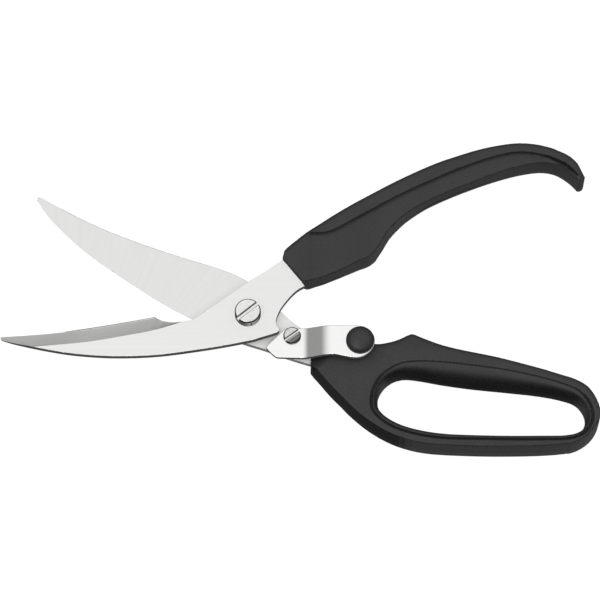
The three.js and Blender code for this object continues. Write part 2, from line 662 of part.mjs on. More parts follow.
function latchKnob() {
  const bottom = LEVER_HIGH + LEVER_THICKNESS + SEAT_GAP;
  const shoulder = bottom + KNOB_WALL;
  const dome = KNOB_HEIGHT - KNOB_WALL;
  const chamfer = 0.3;
  const profile = [[0, bottom], [KNOB_RADIUS - chamfer, bottom], [KNOB_RADIUS, bottom + chamfer]];
  const steps = 5;
  for (let i = 0; i <= steps; i++) {
    const angle = (Math.PI / 2) * (i / steps);
    profile.push([i === steps ? 0 : KNOB_RADIUS * Math.cos(angle), shoulder + dome * Math.sin(angle)]);
  }
  return turned(KNOB_X, KNOB_Y, profile).subtract(rivetShape(SCREWED_CLEARANCE));
}

const shears = new THREE.Group();
shears.add(
  named("front_blade", frontBlade(), bladeSteel()),
  named("rear_blade", rearBlade(), bladeSteel()),
  named("upper_handle", upperHandle(), blackPlastic()),
  named("lower_handle", lowerHandle(), blackPlastic()),
  named("pivot_screw", pivotScrew(), screwSteel()),
  named("pivot_nut", pivotNut(), screwSteel()),
  named("opening_spring", openingSpring(), springSteel()),
  named("stop_pin", stopPin(), screwSteel()),
  named("latch_lever", latchLever(), sheetSteel()),
  named("latch_screw", latchScrew(), screwSteel()),
  named("latch_washer", latchWasher(), springSteel()),
  named("latch_knob", latchKnob(), blackPlastic()),
  named("knob_rivet", rivetShape(0), screwSteel()),
);

export default shears;
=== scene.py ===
"""Poultry shears: the looks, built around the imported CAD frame. Lengths are millimetres until a mesh is made."""

import math

import bmesh
import bpy
import numpy as np
from mathutils import Matrix, Vector
from mathutils.bvhtree import BVHTree
from mathutils.geometry import delaunay_2d_cdt


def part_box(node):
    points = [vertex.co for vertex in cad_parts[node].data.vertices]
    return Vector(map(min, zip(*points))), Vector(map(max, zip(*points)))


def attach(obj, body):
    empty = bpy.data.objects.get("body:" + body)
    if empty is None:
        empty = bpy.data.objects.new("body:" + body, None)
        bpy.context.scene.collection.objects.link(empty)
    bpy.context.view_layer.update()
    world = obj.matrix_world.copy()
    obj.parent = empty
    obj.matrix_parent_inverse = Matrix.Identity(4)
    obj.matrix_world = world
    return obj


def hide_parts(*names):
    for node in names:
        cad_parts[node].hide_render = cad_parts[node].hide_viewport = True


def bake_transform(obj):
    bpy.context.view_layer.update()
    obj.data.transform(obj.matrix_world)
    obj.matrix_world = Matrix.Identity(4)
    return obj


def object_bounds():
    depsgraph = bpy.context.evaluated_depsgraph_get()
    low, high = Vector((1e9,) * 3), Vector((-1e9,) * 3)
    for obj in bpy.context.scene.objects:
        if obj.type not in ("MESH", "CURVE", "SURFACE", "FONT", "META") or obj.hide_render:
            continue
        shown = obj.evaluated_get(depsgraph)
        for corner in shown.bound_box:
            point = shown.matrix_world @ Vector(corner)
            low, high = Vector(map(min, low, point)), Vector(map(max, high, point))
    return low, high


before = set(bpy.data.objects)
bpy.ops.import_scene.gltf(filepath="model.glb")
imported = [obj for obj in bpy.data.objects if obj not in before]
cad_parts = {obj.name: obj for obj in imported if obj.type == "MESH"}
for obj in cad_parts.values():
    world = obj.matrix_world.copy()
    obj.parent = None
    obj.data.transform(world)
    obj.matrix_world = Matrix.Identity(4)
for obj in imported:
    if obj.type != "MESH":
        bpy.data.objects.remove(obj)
cad_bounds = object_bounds()

MM = 0.001
CAMERA_TILT = math.radians(21)  # from straight down
CAMERA_DISTANCE = 1500
CAMERA_LENS = 215.8
CAMERA_SENSOR = 36
AIM_OFFSET = (0.85, -1.2)  # from the middle of the CAD box to what the camera looks at
AIM_HEIGHT = 7
SHARP_ANGLE = math.radians(32)


# ---- Reading the CAD frame ----


def node_box(node):
    """Lowest and highest corner of a CAD node, in mm."""
    low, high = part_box(node)
    return np.array(low) / MM, np.array(high) / MM


def round_node(node):
    """Lowest and highest Z, centre and radius of a round CAD node, in mm."""
    low, high = node_box(node)
    return low[2], high[2], (low + high)[:2] / 2, (high - low)[0] / 2


def node_mesh(node):
    bm = bmesh.new()
    bm.from_mesh(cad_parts[node].data)
    return bm


def slice_loops(node, height):
    """The closed outlines of a CAD node at a height in mm, longest first, each an array of x, y points."""
    bm = node_mesh(node)
    bmesh.ops.remove_doubles(bm, verts=bm.verts, dist=1e-7)
    everything = bm.verts[:] + bm.edges[:] + bm.faces[:]
    cut = bmesh.ops.bisect_plane(bm, geom=everything, plane_co=(0, 0, height * MM), plane_no=(0, 0, 1))
    edges = {e for e in cut["geom_cut"] if isinstance(e, bmesh.types.BMEdge)}
    loops = []
    while edges:
        first = edges.pop()
        start, here = first.verts
        path = [start, here]
        while True:
            onward = next((e for e in here.link_edges if e in edges), None)
            if onward is None:
                break
            edges.discard(onward)
            here = onward.other_vert(here)
            if here is start:
                break
            path.append(here)
        loops.append(np.array([(v.co.x / MM, v.co.y / MM) for v in path]))
    bm.free()
    return sorted(loops, key=lambda loop: -perimeter(loop))


def cast_heights(node, points, downward=True):
    """Height of a CAD node's surface at each x, y point, found by a ray straight down from above or up from below."""
    bm = node_mesh(node)
    tree = BVHTree.FromBMesh(bm)
    bm.free()
    start, way = (1, -1) if downward else (-1, 1)
    heights = []
    for x, y in points * MM:
        hits = []
        for reach in (0, 0.03, 0.08):
            for dx, dy in ((1, 0), (-1, 0), (0, 1), (0, -1)):
                hit = tree.ray_cast(Vector((x + dx * reach * MM, y + dy * reach * MM, start)), Vector((0, 0, way)))[0]
                if hit is not None:
                    hits.append(hit.z)
            if hits:
                break
        heights.append(sum(hits) / len(hits) / MM if hits else tree.find_nearest(Vector((x, y, 0.01)))[0].z / MM)
    return np.array(heights)


# ---- Plane curves ----


def perimeter(loop):
    return lengths(np.roll(loop, -1, 0) - loop).sum()


def area(loop):
    x, y = loop.T
    return 0.5 * np.sum(x * np.roll(y, -1) - y * np.roll(x, -1))


def anticlockwise(loop):
    return loop if area(loop) > 0 else loop[::-1]


def without_short_steps(loop, least):
    """The loop without the points that lie closer than least to the one before."""
    kept = [loop[0]]
    for point in loop[1:]:
        if np.linalg.norm(point - kept[-1]) > least:
            kept.append(point)
    if np.linalg.norm(kept[0] - kept[-1]) <= least:
        kept.pop()
    return np.array(kept)


def smooth_run(points, spacing):
    """Points along a Catmull-Rom curve through an open run of points, the last one left out."""
    ends = np.vstack([2 * points[0] - points[1], points, 2 * points[-1] - points[-2]])
    made = []
    for p0, p1, p2, p3 in zip(ends, ends[1:], ends[2:], ends[3:]):
        steps = max(1, int(round(np.linalg.norm(p2 - p1) / spacing)))
        for t in np.arange(steps) / steps:
            made.append(
                0.5 * (2 * p1 + (p2 - p0) * t + (2 * p0 - 5 * p1 + 4 * p2 - p3) * t**2
                       + (3 * p1 - p0 - 3 * p2 + p3) * t**3)
            )
    return np.array(made)


def refined(loop, spacing, corner=math.radians(24)):
    """A closed loop resampled finely, smooth between its corners, which stay where they are."""
    loop = without_short_steps(anticlockwise(loop), 0.05)
    into = loop - np.roll(loop, 1, 0)
    out = np.roll(loop, -1, 0) - loop
    turn = np.arctan2(into[:, 0] * out[:, 1] - into[:, 1] * out[:, 0], (into * out).sum(1))
    corners = np.flatnonzero(abs(turn) > corner)
    if len(corners) == 0:
        wrapped = np.vstack([loop[-1:], loop, loop[:2]])
        return smooth_run(wrapped, spacing)[count_steps(wrapped[:2], spacing):][:-count_steps(wrapped[-2:], spacing)]
    loop = np.roll(loop, -corners[0], 0)
    marks = list(corners - corners[0]) + [len(loop)]
    closed = np.vstack([loop, loop[:1]])
    return np.vstack([smooth_run(closed[a:b + 1], spacing) for a, b in zip(marks, marks[1:])])


def count_steps(pair, spacing):
    return max(1, int(round(np.linalg.norm(pair[1] - pair[0]) / spacing)))


def circle(x, y, radius, count):
    angles = np.arange(count) * 2 * math.pi / count
    return np.column_stack([x + radius * np.cos(angles), y + radius * np.sin(angles)])


def lengths(points):
    return np.linalg.norm(points, axis=1)


def distance_to(points, line, closed=True):
    """Distance from each point to a polyline."""
    starts = line if closed else line[:-1]
    ends = np.roll(line, -1, 0) if closed else line[1:]
    best = np.full(len(points), np.inf)
    for chunk in range(0, len(starts), 200):
        a = starts[chunk:chunk + 200]
        b = ends[chunk:chunk + 200]
        along = b - a
        length2 = np.maximum((along**2).sum(1), 1e-12)
        rel = points[:, None, :] - a[None]
        t = np.clip((rel * along[None]).sum(2) / length2, 0, 1)
        gap = rel - t[..., None] * along[None]
        best = np.minimum(best, np.sqrt((gap**2).sum(2)).min(1))
    return best


def inside(points, loop):
    """Which points lie inside a closed loop."""
    x, y = points.T
    result = np.zeros(len(points), bool)
    for (x1, y1), (x2, y2) in zip(loop, np.roll(loop, -1, 0)):
        crosses = (y1 > y) != (y2 > y)
        if crosses.any():
            at = x1 + (y - y1) * (x2 - x1) / (y2 - y1 + 1e-30)
            result ^= crosses & (x < at)
    return result


def outward_normals(loop):
    """Outward unit vectors at the points of an anticlockwise loop."""
    ahead = np.roll(loop, -1, 0) - np.roll(loop, 1, 0)
    normal = np.column_stack([ahead[:, 1], -ahead[:, 0]])
    return normal / np.maximum(lengths(normal), 1e-9)[:, None]


def nearest_index(points, line):
    """For each point, the number of the nearest point of a finely spaced line."""
    nearest = np.empty(len(points), int)
    for chunk in range(0, len(points), 2000):
        gap = points[chunk:chunk + 2000, None] - line[None]
        nearest[chunk:chunk + 2000] = (gap**2).sum(2).argmin(1)
    return nearest


def between_loops(points, loops):
    """Which points lie inside the first loop and outside the others."""
    kept = inside(points, loops[0])
    for hole in loops[1:]:
        kept &= ~inside(points, hole)
    return kept


def offset_rows(loop, distances, inward=1):
    """Rows of points at distances inside a closed loop, without those that a corner would fold over."""
    loop = anticlockwise(loop)
    normal = -inward * outward_normals(loop)
    rows = []
    for distance in distances:
        row = loop + normal * distance
        rows.append(row[distance_to(row, loop) > distance * 0.97])
    return np.vstack(rows)


def grown(loop, distance):
    """A closed loop moved outwards, by one distance or by one for each point."""
    loop = anticlockwise(loop)
    distance = np.broadcast_to(distance, len(loop))
    moved = loop + outward_normals(loop) * distance[:, None]
    return without_short_steps(moved[distance_to(moved, loop) > abs(distance) * 0.9 - 1e-6], 0.1)


def grid_points(loop, step):
    low, high = loop.min(0), loop.max(0)
    x, y = np.meshgrid(np.arange(low[0], high[0], step), np.arange(low[1], high[1], step * 0.87))
    x = x + (np.arange(x.shape[0]) % 2)[:, None] * step / 2
    return np.column_stack([x.ravel(), y.ravel()])


# ---- Solids made of a top and a bottom surface over a plan outline ----


def relief_solid(name, outer, holes, top, bottom, extra, step, wall_rows=2, sharp=SHARP_ANGLE):
    """A closed mesh over a plan outline. top and bottom give the height at each x, y point. extra holds more
    points for the surfaces to pass through, beside a grid of the given step."""
    loops = [anticlockwise(outer)] + [anticlockwise(hole)[::-1] for hole in holes]
    filling = grid_points(outer, step)
    inner = np.vstack([filling, *extra])
    inner = inner[between_loops(inner, loops)]
    clear = np.min([distance_to(inner, loop) for loop in loops], axis=0)
    inner = inner[clear > 0.012]
    points, edges = [], []
    for loop in loops:
        first = len(points)
        points += [tuple(p) for p in loop]
        edges += [(first + i, first + (i + 1) % len(loop)) for i in range(len(loop))]
    points += [tuple(p) for p in inner]
    verts, _, faces, *_ = delaunay_2d_cdt([Vector(p) for p in points], edges, [], 0, 1e-4)
    flat = np.array([(v.x, v.y) for v in verts])
    middles = np.array([flat[list(f)].mean(0) for f in faces])
    faces = [f for f, kept in zip(faces, between_loops(middles, loops)) if kept]
    used = sorted({v for f in faces for v in f})
    number = {v: i for i, v in enumerate(used)}
    flat = flat[used]
    faces = [[number[v] for v in f] for f in faces]
    count = len(flat)
    high, low = top(flat), bottom(flat)
    sides = {}
    for f in faces:
        for a, b in zip(f, f[1:] + f[:1]):
            if (b, a) in sides:
                del sides[(b, a)]
            else:
                sides[(a, b)] = True
    coords = [(*p, z) for p, z in zip(flat, high)] + [(*p, z) for p, z in zip(flat, low)]
    polygons = [list(f) for f in faces] + [[count + v for v in reversed(f)] for f in faces]
    rim = sorted({v for side in sides for v in side})
    rows = [{v: v for v in rim}]
    for k in range(1, wall_rows):
        share = k / wall_rows
        row = {}
        for v in rim:
            row[v] = len(coords)
            coords.append((*flat[v], high[v] * (1 - share) + low[v] * share))
        rows.append(row)
    rows.append({v: count + v for v in rim})
    for upper, lower in zip(rows, rows[1:]):
        polygons += [[upper[b], upper[a], lower[a], lower[b]] for a, b in sides]
    return mesh_object(name, coords, polygons, sharp)


def mesh_object(name, coords, polygons, sharp=SHARP_ANGLE):
    mesh = bpy.data.meshes.new(name)
    mesh.from_pydata([tuple(c * MM for c in p) for p in coords], [], polygons)
    mesh.validate()
    mesh.polygons.foreach_set("use_smooth", [True] * len(mesh.polygons))
    mesh.set_sharp_from_angle(angle=sharp)
    piece = bpy.data.objects.new(name, mesh)
    bpy.context.scene.collection.objects.link(piece)
    return piece


def rounded_edge(depth, radius):
    """How far a surface drops at a distance in from its outline, for a quarter-round edge."""
    inset = np.clip(radius - depth, 0, radius)
    return radius - np.sqrt(np.maximum(radius**2 - inset**2, 0))


def smooth_step(low, high, value):
    t = np.clip((value - low) / (high - low), 0, 1)
    return t * t * (3 - 2 * t)


def soft_least(a, b, width):
    """The lesser of two heights, with a rounded valley of the given width between them."""
    h = np.clip(0.5 + 0.5 * (b - a) / width, 0, 1)
    return b * (1 - h) + a * h - width * h * (1 - h)


# ---- Materials ----


class Shader:
    """A short way to write the nodes of a material or a world."""

    def __init__(self, owner):
        owner.use_nodes = True
        self.material = owner
        self.tree = owner.node_tree
        self.surface = self.tree.nodes.get("Principled BSDF")

    def node(self, kind, **settings):
        made = self.tree.nodes.new(kind)
        for key, value in settings.items():
            if hasattr(made, key):
                setattr(made, key, value)
            else:
                made.inputs[key.replace("_", " ").title()].default_value = value
        return made

    def link(self, source, target):
        self.tree.links.new(source, target)

    def feed(self, socket, value):
        """Links a node's output to a socket, or sets the socket to a value or a colour."""
        if isinstance(value, bpy.types.NodeSocket):
            self.link(value, socket)
        else:
            socket.default_value = (*value, 1) if isinstance(value, tuple) else value

    def position(self):
        """The X, Y and Z of each point of the surface, in metres."""
        split = self.node("ShaderNodeSeparateXYZ")
        self.link(self.node("ShaderNodeTexCoord").outputs["Object"], split.inputs[0])
        return split.outputs

    def product(self, a, b):
        return self.mix(1.0, a, b, "MULTIPLY")

    def place(self, scale=(1, 1, 1), turn=0.0):
        coords = self.node("ShaderNodeTexCoord")
        mapping = self.node("ShaderNodeMapping", scale=scale, rotation=(0, 0, turn))
        self.link(coords.outputs["Object"], mapping.inputs["Vector"])
        return mapping.outputs["Vector"]

    def calc(self, operation, a, b=0.0):
        made = self.node("ShaderNodeMath", operation=operation)
        for socket, value in zip(made.inputs, (a, b)):
            self.feed(socket, value)
        return made.outputs[0]

    def fan(self, centre, across, along):
        """A vector for streaks that spread from a centre in mm: angle times across, and distance times along."""
        x, y = (self.calc("SUBTRACT", self.position()[axis], centre[axis] * MM) for axis in (0, 1))
        reach = self.calc("SQRT", self.calc("ADD", self.calc("MULTIPLY", x, x), self.calc("MULTIPLY", y, y)))
        made = self.node("ShaderNodeCombineXYZ")
        self.link(self.calc("MULTIPLY", self.calc("ARCTAN2", y, x), across), made.inputs["X"])
        self.link(self.calc("MULTIPLY", reach, along), made.inputs["Y"])
        return made.outputs[0]

    def open_sky(self, distance, power):
        """How open the surface is, 0 to 1, falling where another surface lies within a distance in metres."""
        made = self.node("ShaderNodeAmbientOcclusion", samples=8, distance=distance)
        return self.calc("POWER", made.outputs["AO"], power)

    def noise(self, vector, scale, detail=4, roughness=0.5):
        made = self.node("ShaderNodeTexNoise", scale=scale, detail=detail, roughness=roughness)
        self.link(vector, made.inputs["Vector"])
        return made.outputs["Fac"]

    def spread(self, value, low, high, from_low=0.3, from_high=0.7):
        made = self.node("ShaderNodeMapRange", from_min=from_low, from_max=from_high, to_min=low, to_max=high)
        self.link(value, made.inputs["Value"])
        return made.outputs["Result"]

    def ramp(self, value, *stops):
        made = self.node("ShaderNodeValToRGB")
        ramp = made.color_ramp
        while len(ramp.elements) < len(stops):
            ramp.elements.new(0.5)
        for element, (position, color) in zip(ramp.elements, stops):
            element.position = position
            element.color = (*color, 1)
        self.link(value, made.inputs["Fac"])
        return made.outputs["Color"]

    def mix(self, factor, a, b, blend="MIX"):
        made = self.node("ShaderNodeMix", data_type="RGBA", blend_type=blend)
        for socket, value in ((made.inputs["Factor"], factor), (made.inputs[6], a), (made.inputs[7], b)):
            self.feed(socket, value)
        return made.outputs[2]

    def shade(self, value):
        """A grey colour from a value."""
        made = self.node("ShaderNodeCombineColor")
        for channel in range(3):
            self.link(value, made.inputs[channel])
        return made.outputs[0]

    def bump(self, *heights):
        """Bumps laid on each other, each a (height, strength, distance in metres)."""
        normal = None
        for height, strength, distance in heights:
            made = self.node("ShaderNodeBump", strength=strength, distance=distance)
            self.link(height, made.inputs["Height"])
            if normal is not None:
                self.link(normal, made.inputs["Normal"])
            normal = made.outputs["Normal"]
        self.link(normal, self.surface.inputs["Normal"])

    def facing_up(self):
        """How far the surface faces along Z, without sign."""
        geometry = self.node("ShaderNodeNewGeometry")
        split = self.node("ShaderNodeSeparateXYZ")
        self.link(geometry.outputs["Normal"], split.inputs[0])
        return self.calc("ABSOLUTE", split.outputs["Z"])


def steel(name, color, roughness, streaks, edge=0.2, side_shade_span=(0.25, 0.6), streak=0.03, dull=0.2, contact_shade_reach=0.0):
    """Brushed stainless steel. streaks is a shader vector maker for the brushing. Sides that face away from Z within
    the given span of facing values take painted shade: a dark grey of the edge value in place of the steel colour."""
    s = Shader(bpy.data.materials.new(name))
    s.surface.inputs["Metallic"].default_value = 1
    fine = s.noise(streaks(s, 1), 8, 3)
    broad = s.noise(streaks(s, 0.12), 6, 3)
    grit = s.noise(s.place(), 3500, 2)
    dark = tuple(c * (1 - streak) for c in color)
    bright = tuple(min(1, c * (1 + streak)) for c in color)
    tone = s.ramp(fine, (0.3, dark), (0.7, bright))
    tone = s.mix(0.4, tone, s.ramp(broad, (0.3, dark), (0.7, bright)))
    # Painted shade: surfaces that face sideways take a dark grey in place of the steel colour, standing in for the
    # dark surroundings they reflect.
    side = s.spread(s.facing_up(), 1, 0, *side_shade_span)
    uneven = s.spread(broad, 0.8, 1.2)
    painted_side_shade = s.product((edge, edge, edge), s.shade(uneven))
    tone = s.mix(side, tone, painted_side_shade)
    # Painted contact shadow: the colour darkens where another surface lies within this distance, most strongly below
    # -10 mm in Y.
    if contact_shade_reach:
        strength = s.spread(s.position()["Y"], 0.8, 0.25, -0.010, -0.004)
        tone = s.product(tone, s.shade(s.open_sky(contact_shade_reach, strength)))
    s.link(tone, s.surface.inputs["Base Color"])
    rough = s.calc("ADD", s.spread(fine, roughness * 0.9, roughness * 1.1), s.spread(side, 0, dull, 0, 1))
    s.link(rough, s.surface.inputs["Roughness"])
    s.bump((fine, 0.03, 0.00002), (grit, 0.03, 0.00001))
    return s.material


def brushed(angle=0.0, length=1.0):
    """Straight brushing along an angle in radians."""
    return lambda s, scale: s.place((40 * scale / length, 900 * scale, 300 * scale), angle)


def fanned(centre):
    """Brushing along lines that spread from a centre in mm."""
    return lambda s, scale: s.fan(centre, 60 * scale, 30 * scale)


def turned(name, color, node, slot_angle, painted_face_light):
    """A turned screw head: a mottled face with painted light and shade as stops of brightness in mm across the slot,
    a rim painted dark for shade, and a side wall with painted reflections in bands round it."""
    s = Shader(bpy.data.materials.new(name))
    s.surface.inputs["Metallic"].default_value = 1
    s.surface.inputs["Roughness"].default_value = 0.22
    centre = round_node(node)[2]
    angle = math.radians(slot_angle)
    coords = s.position()
    x = s.calc("MULTIPLY", s.calc("SUBTRACT", coords["X"], centre[0] * MM), -math.sin(angle))
    y = s.calc("MULTIPLY", s.calc("SUBTRACT", coords["Y"], centre[1] * MM), math.cos(angle))
    across = s.calc("MULTIPLY", s.calc("ADD", x, y), 100.0)
    mottle = s.noise(s.place((1, 1, 1), -angle), 900, 3)
    # Painted light and shade on the face: brighter and darker bands across the slot.
    face = s.ramp(s.calc("ADD", across, 0.5), *((0.5 + at / 10, (tone,) * 3) for at, tone in painted_face_light))
    face = s.product(color, face)
    face = s.product(face, s.ramp(mottle, (0.35, (0.86,) * 3), (0.62, (1.0,) * 3)))
    up = s.facing_up()
    # Painted shade: the rounded rim turns near black.
    tone = s.mix(s.spread(up, 1, 0, 0.9, 0.97), face, (0.05, 0.05, 0.05))
    # Painted reflections on the side wall: grey bands round it with one bright highlight.
    turn = s.fan(centre, 1 / (2 * math.pi), 0)
    split = s.node("ShaderNodeSeparateXYZ")
    s.link(turn, split.inputs[0])
    painted_wall_reflections = s.ramp(s.calc("ADD", split.outputs["X"], 0.5), *(
        (at, (grey,) * 3) for at, grey in
        ((0.0, 0.15), (0.08, 0.2), (0.14, 0.06), (0.2, 0.1), (0.24, 0.4), (0.285, 0.95), (0.33, 0.5), (0.38, 0.3),
         (0.43, 0.05), (1.0, 0.08))))
    tone = s.mix(s.spread(up, 1, 0, 0.15, 0.3), tone, painted_wall_reflections)
    s.link(tone, s.surface.inputs["Base Color"])
    s.bump((mottle, 0.05, 0.00002))
    return s.material


def plastic(name, color, roughness, grain=1.0, contact_shade_reach=0.005):
    """Black moulded plastic with a fine satin grain. Painted shade makes it darker and less glossy where another
    piece lies close and on the walls marked for it.
    """
    s = Shader(bpy.data.materials.new(name))
    s.surface.inputs["IOR"].default_value = 1.5
    grains = s.noise(s.place(), 1500, 3, 0.65)
    cloud = s.noise(s.place(), 60, 4)
    wear = s.node("ShaderNodeNewGeometry").outputs["Pointiness"]
    light = tuple(c * 1.35 for c in color)
    tone = s.ramp(cloud, (0.3, color), (0.75, light))
    tone = s.product(tone, s.ramp(grains, (0.35, (0.45,) * 3), (0.65, (1.0,) * 3)))
    painted_wall_shade = s.node("ShaderNodeAttribute", attribute_name="painted_wall_shade").outputs["Fac"]
    # Painted shade: the colour darkens where another surface lies within 2.5 mm.
    tone = s.product(tone, s.shade(s.open_sky(0.0025, 0.5)))
    # Painted shade on the walls that the lower handle marks.
    tone = s.product(tone, s.shade(s.spread(painted_wall_shade, 1, 0.4, 0, 1.5)))
    tone = s.mix(s.spread(wear, 0, 0.35, 0.58, 0.7), tone, tuple(c * 2.2 for c in color))
    s.link(tone, s.surface.inputs["Base Color"])
    s.link(s.spread(grains, roughness * 0.85, roughness * 1.2), s.surface.inputs["Roughness"])
    # Painted shade in the gloss: less specular where another piece lies close and on the marked walls.
    gloss = s.spread(s.open_sky(contact_shade_reach, 2.0), 0.05, 0.5, 0, 1)
    s.link(s.calc("MULTIPLY", gloss, s.spread(painted_wall_shade, 1, 0.15, 0, 1)), s.surface.inputs["Specular IOR Level"])
    s.bump((grains, 0.9 * grain, 0.00006), (cloud, 0.1, 0.0002))
    return s.material


# ---- Pieces ----

def finish_piece(piece, node, body, finish):
    """Puts the piece on its body in place of its CAD node, with its material."""
    material, slot = finish
    piece.data.materials.append(material)
    if body:
        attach(piece, body)
    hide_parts(node)
    return piece


def stretch(loop, start, end):
    """The part of an anticlockwise loop from the point nearest start to the point nearest end."""
    first = np.argmin(lengths(loop - start))
    last = np.argmin(lengths(loop - end))
    rolled = np.roll(loop, -first, 0)
    return rolled[:(last - first) % len(loop) + 1]


def left_normals(line):
    ahead = np.gradient(line, axis=0)
    normal = np.column_stack([-ahead[:, 1], ahead[:, 0]])
    return normal / np.maximum(lengths(normal), 1e-9)[:, None]


def side_distance(points, line):
    """Distance to an open line, positive on its left."""
    away = distance_to(points, line, closed=False)
    nearest = nearest_index(points, line)
    side = ((points - line[nearest]) * left_normals(line)[nearest]).sum(1)
    return np.where(side >= 0, away, -away)


def beside(line, offsets):
    """Rows of points beside an open line, at offsets to its left."""
    normal = left_normals(line)
    return np.vstack([line + normal * offset for offset in offsets])


def table(pairs, value):
    """A smooth curve through a few (position, height) pairs, read at value."""
    curve = smooth_run(np.array(pairs, float), 0.5)
    return np.interp(value, curve[:, 0], curve[:, 1])


# Upper handle

HANDLE_SPACING = 0.55  # between the points of its outlines
HANDLE_GRID = 1.3  # between the points of its surfaces
HANDLE_EDGE = 0.6
HANDLE_TAPER = 0.8  # how far the near walls lean in, just below the front
TAPER_SLOPE = 8.0  # and how steeply
FAR_EDGE_INSET = 2.8
FAR_EDGE_DROP = 1.7
HANDLE_END_EDGE = 0.45  # on the walls that face the blades
HANDLE_GROWTH = 0.33  # how far the moulded skin stands outside the CAD outline
FRONT_ROWS = (0.02, 0.06, 0.15, 0.3, 0.5, 0.7, 0.8, 0.83, 0.88, 0.96, 1.08, 1.24, 1.4, 1.65, 1.9, 2.3, 2.8)
UPPER_END_WALL = ((14.7, 24.6), (23.5, 13.3))
UPPER_BACK_EDGE = (  # along X, the radius of the upper handle's back edges
    (14, 3), (30, 6), (40, 6), (48, 3.5), (56, 3.5), (66, 5), (76, 7), (95, 7), (106, 5.5), (120, 4), (131, 2.8),
    (142, 2.5),
)
GROOVE_INSET = (  # along X, how far the upper handle's groove lies inside its outer edge
    (24, 0.2), (26, 1.4), (27.1, 2.4), (28.3, 3.3), (29.6, 4.1), (31.7, 5.0), (35.6, 5.5), (42, 5.6), (59, 5.8),
    (76, 5.8), (81, 5.6), (90, 5.3), (99, 4.9), (106, 4.4), (112, 4.1), (119, 4.1), (124, 4.15), (128, 3.8),
    (133, 3.6), (137.4, 2.8), (139, 2.2), (140.4, 1.7), (141.5, 1.3),
)
GROOVE_WIDTH = ((20, 0.8), (119, 0.8), (123, 1.2), (127, 1.7), (131, 2.0), (136, 1.9), (137.5, 1.6), (139, 1.2),
                (142, 1))
GROOVE_DEPTH = ((20, 0.85), (119, 0.9), (123, 1.1), (127, 1.3), (131, 1.5), (136, 1.4), (137.5, 1.1), (139, 0.8),
                (142, 0.6))
GROOVE_DISH = (  # how deep the panel inside the groove starts
    (20, 0.65), (115, 0.65), (123, 0.45), (127, 0.3), (142, 0.3))
UPPER_FAR_SKIN = ((22, 0.1), (29, 0.05), (35, 0.3), (41, 0.42), (47, 0.42), (58, 0.25), (70, 0.33), (82, 0.33),
                  (93, 0.07), (122, 0), (128, 0.2), (131, 0.15), (134, 0.4), (137.5, 0.65), (139.5, 0.3), (142, 0))
UPPER_NEAR_SKIN = ((24, 0), (27, -0.3), (31.6, 0.6), (37, 0.75), (42, 0.3), (47, -0.45), (53, -0.5), (57, 0.1),
                   (61, 0.45), (66, 0.3), (72, 0.1), (80, -0.1), (120, -0.25), (142, -0.35))


def outward_at(points, loop):
    """The outward directions at the nearest points of an anticlockwise loop."""
    return outward_normals(loop)[nearest_index(points, loop)]


def outward_y(points, loop):
    return outward_at(points, loop)[:, 1]


def skin(plan, far, near):
    """How far a handle's skin stands outside its CAD outline, from tables along X for its sides towards +Y (far)
    and -Y (near)."""
    facing = outward_y(plan, plan)
    share_far, share_near = smooth_step(0.0, 0.4, facing), smooth_step(0.0, -0.4, facing)
    return HANDLE_GROWTH + share_far * table(far, plan[:, 0]) + share_near * table(near, plan[:, 0])


def front_edge(points, outline, end_wall):
    """How far a handle's front drops near its outline: a broad soft edge on the side towards +Y, a small edge over
    a tapered wall on the side towards -Y, and a small edge on the wall that faces the blades."""
    depth = distance_to(points, outline)
    facing = outward_y(points, outline)
    body = smooth_step(0.2, 1.2, distance_to(points, np.array(end_wall), closed=False))
    far = smooth_step(0.1, 0.6, facing) * body
    taper = HANDLE_TAPER * smooth_step(-0.1, -0.5, facing) * body
    radius = HANDLE_END_EDGE + (HANDLE_EDGE - HANDLE_END_EDGE) * body
    crisp = rounded_edge(depth - taper, radius) + TAPER_SLOPE * np.maximum(taper - depth, 0)
    soft = rounded_edge(depth, FAR_EDGE_INSET) * FAR_EDGE_DROP / FAR_EDGE_INSET
    return crisp * (1 - far) + soft * far


def softened(loop, corner, reach, rounds):
    """The loop with the corner nearest a point worn round."""
    share = 0.5 * smooth_step(reach, reach * 0.6, lengths(loop - corner))[:, None]
    for _ in range(rounds):
        loop = loop * (1 - share) + (np.roll(loop, 1, 0) + np.roll(loop, -1, 0)) / 2 * share
    return loop


